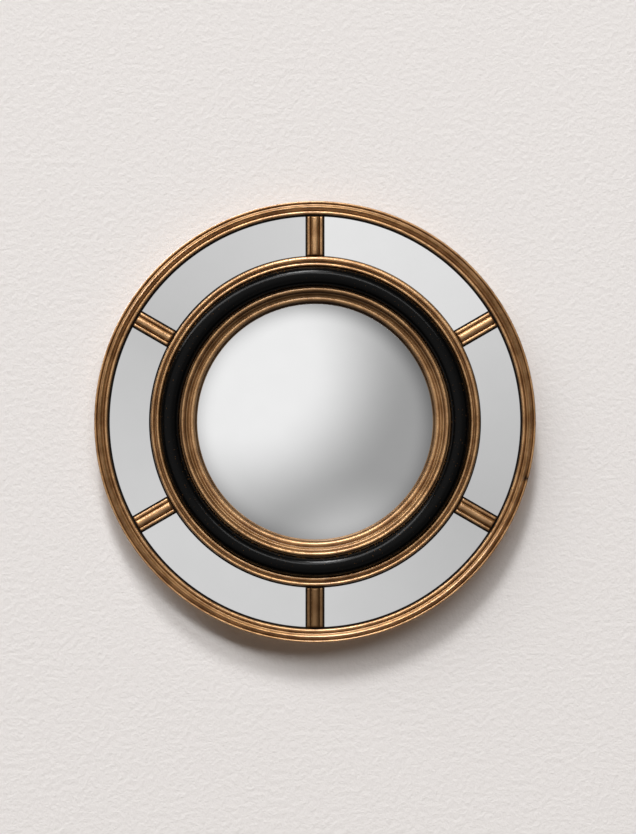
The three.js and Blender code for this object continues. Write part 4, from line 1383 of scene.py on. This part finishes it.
class MIRROR_OT_turn_buttons(bpy.types.Operator):
    """Stamp the four turn buttons over the edge of the centre plate"""

    bl_idname = "mirror.turn_buttons"
    bl_label = "Turn buttons"

    def execute(self, context):
        _, r = settings(context)
        lean = math.acos((BUTTON_HEEL_RADIUS - BUTTON_TOE_RADIUS) / BUTTON_REACH)
        heel = np.linspace(math.pi + lean, 3 * math.pi - lean, 40)
        toe = np.linspace(math.pi - lean, math.pi + lean, 24)
        outline = [
            (radius * math.cos(turn) - reach, radius * math.sin(turn))
            for radius, reach, turns in (
                (BUTTON_HEEL_RADIUS, 0, heel),
                (BUTTON_TOE_RADIUS, BUTTON_REACH, toe),
            )
            for turn in turns
        ]
        plate = chamfered_plate("button", outline, BUTTON_BACK, BUTTON_FACE, BUTTON_EDGE)
        pivot = PAN_SHANK_RADIUS + PIVOT_CLEARANCE
        hole = rod("pivot", pivot, BUTTON_BACK - OVERRUN, BUTTON_FACE + OVERRUN)
        button = carved(plate, [hole])
        steel = [made_once(zinc_plated_steel_stamped)]
        for i, angle in enumerate(CORNER_ANGLES):
            node = f"turn_button_{i + 1}"
            mesh = moved(button, r.button, angle, angle)
            mesh.name = f"stamped_{node}"
            as_piece(f"stamped_{node}", mesh, steel, node, [node])
        return {"FINISHED"}


class MIRROR_OT_hanger(bpy.types.Operator):
    """Roll the hanger strap and bend the ring that swings in it"""

    bl_idname = "mirror.hanger"
    bl_label = "Hanger"

    def execute(self, context):
        _, r = settings(context)
        pivot = STRAP_FACE - WIRE_RADIUS - WIRE_CLEARANCE - STRAP_THICKNESS
        steel = [made_once(zinc_plated_steel_stamped)]
        strap = self.strap(r.hanger, pivot)
        as_piece("rolled_strap", strap, steel, "mirror", ["hanger_strap"])
        ring = self.ring(r.hanger, pivot)
        as_piece("wire_ring", ring, steel, "hanger_ring", ["hanger_ring"])
        return {"FINISHED"}

    def strap(self, up, depth):
        """A strip swept up the board and round the wire, with rounded corners at its tail."""
        middle = WIRE_RADIUS + WIRE_CLEARANCE + STRAP_THICKNESS / 2
        tail = [(-STRAP_LENGTH + step, middle) for step in STRAP_CORNER_STEPS]
        path = tail + [(-STRAP_LENGTH / 2, middle), (-EYE_START, middle)]
        path += [
            (middle * math.cos(turn), middle * math.sin(turn))
            for turn in np.linspace(UP, UP - EYE_WRAP, 40)
        ]
        path = np.array(path)
        along = np.gradient(path, axis=0)
        along /= np.linalg.norm(along, axis=1)[:, None]
        out = np.column_stack([-along[:, 1], along[:, 0]])
        half = np.full(len(path), STRAP_WIDTH / 2)
        for i, step in enumerate(STRAP_CORNER_STEPS):
            left = STRAP_CORNER - step
            half[i] -= STRAP_CORNER - math.sqrt(STRAP_CORNER**2 - left**2)
        thick, edge = STRAP_THICKNESS / 2, STRAP_EDGE
        side = [(-thick, edge), (-thick + edge, 0), (thick - edge, 0), (thick, edge)]
        section = [(-1, *row) for row in side] + [(1, *row) for row in reversed(side)]
        points, faces = [], []
        for spot, normal, wide in zip(path, out, half):
            for side, off, shy in section:
                above, away = spot + normal * off
                points.append((side * (wide - shy), up + above, depth + away))
        count = len(section)
        end = (len(path) - 1) * count
        for start in range(0, end, count):
            faces += ring_faces(start, start + count, count)
        faces += [tuple(range(count))[::-1], tuple(end + j for j in range(count))]
        mesh = outward(mesh_of("rolled_strap", points, faces))
        hole = PAN_SHANK_RADIUS + SINK_CLEARANCE
        bore = rod("bore", hole, STRAP_FACE - 2 * STRAP_THICKNESS, STRAP_FACE + OVERRUN)
        return carved(mesh, [moved(bore, up - drop, UP) for drop in STRAP_SCREW_DROPS])

    def ring(self, up, depth):
        """A round wire bent to a D: a straight bar in the strap and a half-round bow."""
        half, corner = RING_WIDTH / 2, RING_CORNER
        bend = np.linspace(UP, 0, 13)
        line = [(half - corner + corner * math.cos(a), corner * math.sin(a) - corner) for a in bend]
        bow = np.linspace(0, -math.pi, 57)
        line += [(half * math.cos(a), half * math.sin(a) - corner - RING_SIDE) for a in bow]
        line += [(-x, y) for x, y in line[12::-1]]
        line = np.array(line)
        along = np.roll(line, -1, 0) - np.roll(line, 1, 0)
        along /= np.linalg.norm(along, axis=1)[:, None]
        points, faces = [], []
        for (x, y), (way_x, way_y) in zip(line, along):
            for turn in np.arange(WIRE_SIDES) * 2 * math.pi / WIRE_SIDES:
                out, off = WIRE_RADIUS * math.cos(turn), WIRE_RADIUS * math.sin(turn)
                points.append((x + way_y * out, up + y - way_x * out, depth + off))
        for i in range(len(line)):
            n = (i + 1) % len(line)
            faces += ring_faces(n * WIRE_SIDES, i * WIRE_SIDES, WIRE_SIDES)
        return mesh_of("wire_ring", points, faces)


class MIRROR_OT_pads(bpy.types.Operator):
    """Mould the four wall pads"""

    bl_idname = "mirror.pads"
    bl_label = "Wall pads"

    def execute(self, context):
        _, r = settings(context)
        rows = [(0, PAD_FACE)]
        for turn in np.linspace(0, UP, 7):
            inset, fall = PAD_ROUND * (1 - math.sin(turn)), PAD_ROUND * (1 - math.cos(turn))
            rows.append((PAD_FACE_RADIUS - inset, PAD_FACE + fall))
        rows += [(PAD_RADIUS, PAD_FOOT - PAD_EDGE), (PAD_RADIUS - PAD_EDGE, PAD_FOOT)]
        rows.append((0, PAD_FOOT))
        pad = disc("pad", rows, HEAD_SIDES)
        finish = [made_once(nitrile_rubber_moulded)]
        for i, angle in enumerate(CORNER_ANGLES):
            name = f"rubber_pad_{i + 1}"
            mesh = moved(pad, r.pad, angle)
            mesh.name = name
            as_piece(name, mesh, finish, "mirror", [f"wall_pad_{i + 1}"])
        return {"FINISHED"}


# ------------------------------------------------------------------ stage

PHOTO_SIZE = (636, 834)
PHOTO_CENTRE = (315.0, 421.8)  # pixel where the mirror's centre shows
PIXELS_PER_MM = 1.1045
CAMERA_DISTANCE = 2200
SENSOR = 36  # of the picture's long side
RIM_DEPTH = 22  # depth of the frame's outline, where the scale holds
WALL_SIZE = 4  # metres

KEY_ANGLE = math.radians(95)  # round the mirror, from the right
SKY_ANGLE = math.radians(120)
KEY_TILT = math.radians(59)  # off the wall's normal
SKY_TILT = math.radians(56)
KEY_DISTANCE = 30  # metres, as are the lamps' other sizes
KEY_SIZE = 6
KEY_POWER = 5680
SKY_DISTANCE = 24
SKY_WIDTH = 84
SKY_HEIGHT = 5
SKY_POWER = 10200
BACK_POWER = 22
BACK_PLACE = Vector((-0.5, 1.2, 0.6))  # from the mirror's centre, in metres
BACK_SIZE = 1
AMBIENT = (0.12, 0.09, 0.07)
BACKDROP = (0.79, 0.765, 0.745)
# Ways from the mirror to the middle of what its glossy pieces show
CARD_MIDDLE = (-0.55, 0, 0.43)
BAND_MIDDLE = (0.32, 0, -1.16)
OUT_OF_WALL = (0, -1, 0)


def stage_world():
    """Pale room around the mirror. What glossy pieces show is a big soft white card up on the
    left in a grey room, with a lighter band low down; what lights matt pieces is even and low."""
    world = bpy.data.worlds.new("pale_room")
    world.use_nodes = True
    world.node_tree.nodes.clear()
    add = partial(add_node, world.node_tree)
    way = add("TexCoord").outputs["Generated"]
    facing = add("VectorMath", {0: way, 1: (1, 0, 1)}, operation="MULTIPLY")

    def fading(source, middle, near, far, most, least):
        """Light that goes softly from most to least between two distances from a middle."""
        away = add("VectorMath", {0: source, 1: middle}, operation="DISTANCE")
        return add(
            "MapRange",
            {"Value": away, "From Min": near, "From Max": far, "To Min": most, "To Max": least},
            interpolation_type="SMOOTHSTEP",
        )

    card = fading(facing, CARD_MIDDLE, 0.49, 1.25, 0.903, 0.356)
    far_side = fading(facing, CARD_MIDDLE, 1.45, 2, 1, 0.1)
    band = fading(facing, BAND_MIDDLE, 0, 0.8, 0.5, 0)
    beside_wall = fading(way, OUT_OF_WALL, 0.8, 1.15, 1, 0.06)
    room = add("Math", {0: card, 1: far_side, 2: band}, operation="MULTIPLY_ADD")
    shown = add("Math", {0: room, 1: beside_wall}, operation="MULTIPLY")
    ray = add("LightPath")
    lit = add(
        "Mix",
        {"Factor": ray.outputs["Is Glossy Ray"], "A": (*AMBIENT, 1), "B": shown},
        data_type="RGBA",
    )
    seen = add(
        "Mix",
        {"Factor": ray.outputs["Is Camera Ray"], "A": lit, "B": (*BACKDROP, 1)},
        data_type="RGBA",
    )
    background = add("Background", {"Color": seen, "Strength": 1})
    add("OutputWorld", {"Surface": background})
    return world


def towards(angle, tilt):
    """The way from the mirror to a lamp, by its angles round it and off the wall's normal."""
    side = math.sin(tilt)
    return Vector((math.cos(angle) * side, -math.cos(tilt), math.sin(angle) * side))


def soft_lamp(name, place, target, size, power):
    lamp = bpy.data.lights.new(name, "AREA")
    lamp.shape = "DISK"
    lamp.size = size
    lamp.energy = power
    item = bpy.data.objects.new(name, lamp)
    item.location = place
    item.rotation_euler = (target - place).to_track_quat("-Z", "Y").to_euler()
    bpy.context.scene.collection.objects.link(item)
    return item


def linked_to(name, pieces, state):
    """A collection that links light to, or keeps it off, the named pieces."""
    group = bpy.data.collections.new(name)
    for piece in pieces:
        group.objects.link(piece)
    for item in group.collection_objects:
        item.light_linking.link_state = state
    return group


class MIRROR_OT_stage(bpy.types.Operator):
    """Set the wall, the lamps and the camera"""

    bl_idname = "mirror.stage"
    bl_label = "Stage"

    def execute(self, context):
        scene = context.scene
        centre = Vector((0, 0, CENTRE_UP * MM))
        half = WALL_SIZE / 2
        wall_mesh = bpy.data.meshes.new("wall")
        corners = [(-half, 0, -half), (half, 0, -half), (half, 0, half), (-half, 0, half)]
        wall_mesh.from_pydata(corners, [], [(0, 1, 2, 3)])
        wall_mesh.materials.append(made_once(emulsion_rolled_on_plaster))
        wall = bpy.data.objects.new("wall", wall_mesh)
        scene.collection.objects.link(wall)

        glasses = [o for o in scene.objects if "mirror_glass" in o.name]
        off_glass = linked_to("off_glass", glasses, "EXCLUDE")
        spot = centre + towards(KEY_ANGLE, KEY_TILT) * KEY_DISTANCE
        key = soft_lamp("key_lamp", spot, centre, KEY_SIZE, KEY_POWER)
        spot = centre + towards(SKY_ANGLE, SKY_TILT) * SKY_DISTANCE
        sky = soft_lamp("sky_lamp", spot, centre, SKY_WIDTH, SKY_POWER)
        sky.data.shape = "ELLIPSE"
        sky.data.size_y = SKY_HEIGHT
        for lamp in (key, sky):
            lamp.light_linking.receiver_collection = off_glass

        behind = soft_lamp("back_lamp", centre + BACK_PLACE, centre, BACK_SIZE, BACK_POWER)
        behind.light_linking.blocker_collection = linked_to("back_past_wall", [wall], "EXCLUDE")

        camera = bpy.data.cameras.new("camera")
        camera.sensor_width = SENSOR
        seen = PHOTO_SIZE[1] / PIXELS_PER_MM
        camera.lens = SENSOR * (CAMERA_DISTANCE - RIM_DEPTH) / seen
        view = bpy.data.objects.new("camera", camera)
        right = (PHOTO_SIZE[0] / 2 - PHOTO_CENTRE[0]) / PIXELS_PER_MM * MM
        above = (PHOTO_CENTRE[1] - PHOTO_SIZE[1] / 2) / PIXELS_PER_MM * MM
        view.location = centre + Vector((right, -CAMERA_DISTANCE * MM, above))
        view.rotation_euler = (UP, 0, 0)
        scene.collection.objects.link(view)
        scene.camera = view
        scene.world = stage_world()
        scene.view_settings.view_transform = "Standard"
        return {"FINISHED"}


# ------------------------------------------------------------------ panel and registration

OPERATORS = (
    MIRROR_OT_gilt_rings,
    MIRROR_OT_ebonised_ring,
    MIRROR_OT_domed_glass,
    MIRROR_OT_flat_glasses,
    MIRROR_OT_bars,
    MIRROR_OT_board,
    MIRROR_OT_centre_plate,
    MIRROR_OT_screws,
    MIRROR_OT_turn_buttons,
    MIRROR_OT_hanger,
    MIRROR_OT_pads,
    MIRROR_OT_stage,
)


class MIRROR_PT_build(bpy.types.Panel):
    """Sizes, colours and building steps of the mirror"""

    bl_idname = "MIRROR_PT_build"
    bl_label = "Convex mirror"
    bl_space_type = "VIEW_3D"
    bl_region_type = "UI"
    bl_category = "Mirror"

    def draw(self, context):
        layout = self.layout
        for group in (context.scene.mirror_sizes, context.scene.mirror_colours):
            box = layout.box()
            for key in group.bl_rna.properties.keys():
                if key not in ("rna_type", "name"):
                    box.prop(group, key)
        for operator in OPERATORS:
            layout.operator(operator.bl_idname)


CLASSES = (MirrorSizes, MirrorColours, *OPERATORS, MIRROR_PT_build)


def register():
    for item in CLASSES:
        bpy.utils.register_class(item)
    bpy.types.Scene.mirror_sizes = PointerProperty(type=MirrorSizes)
    bpy.types.Scene.mirror_colours = PointerProperty(type=MirrorColours)


def unregister():
    del bpy.types.Scene.mirror_colours
    del bpy.types.Scene.mirror_sizes
    for item in reversed(CLASSES):
        bpy.utils.unregister_class(item)


def main():
    register()
    bpy.ops.mirror.gilt_rings()
    bpy.ops.mirror.ebonised_ring()
    bpy.ops.mirror.domed_glass()
    bpy.ops.mirror.flat_glasses()
    bpy.ops.mirror.bars()
    bpy.ops.mirror.board()
    bpy.ops.mirror.centre_plate()
    bpy.ops.mirror.screws()
    bpy.ops.mirror.turn_buttons()
    bpy.ops.mirror.hanger()
    bpy.ops.mirror.pads()
    bpy.ops.mirror.stage()


if __name__ == "__main__":
    main()
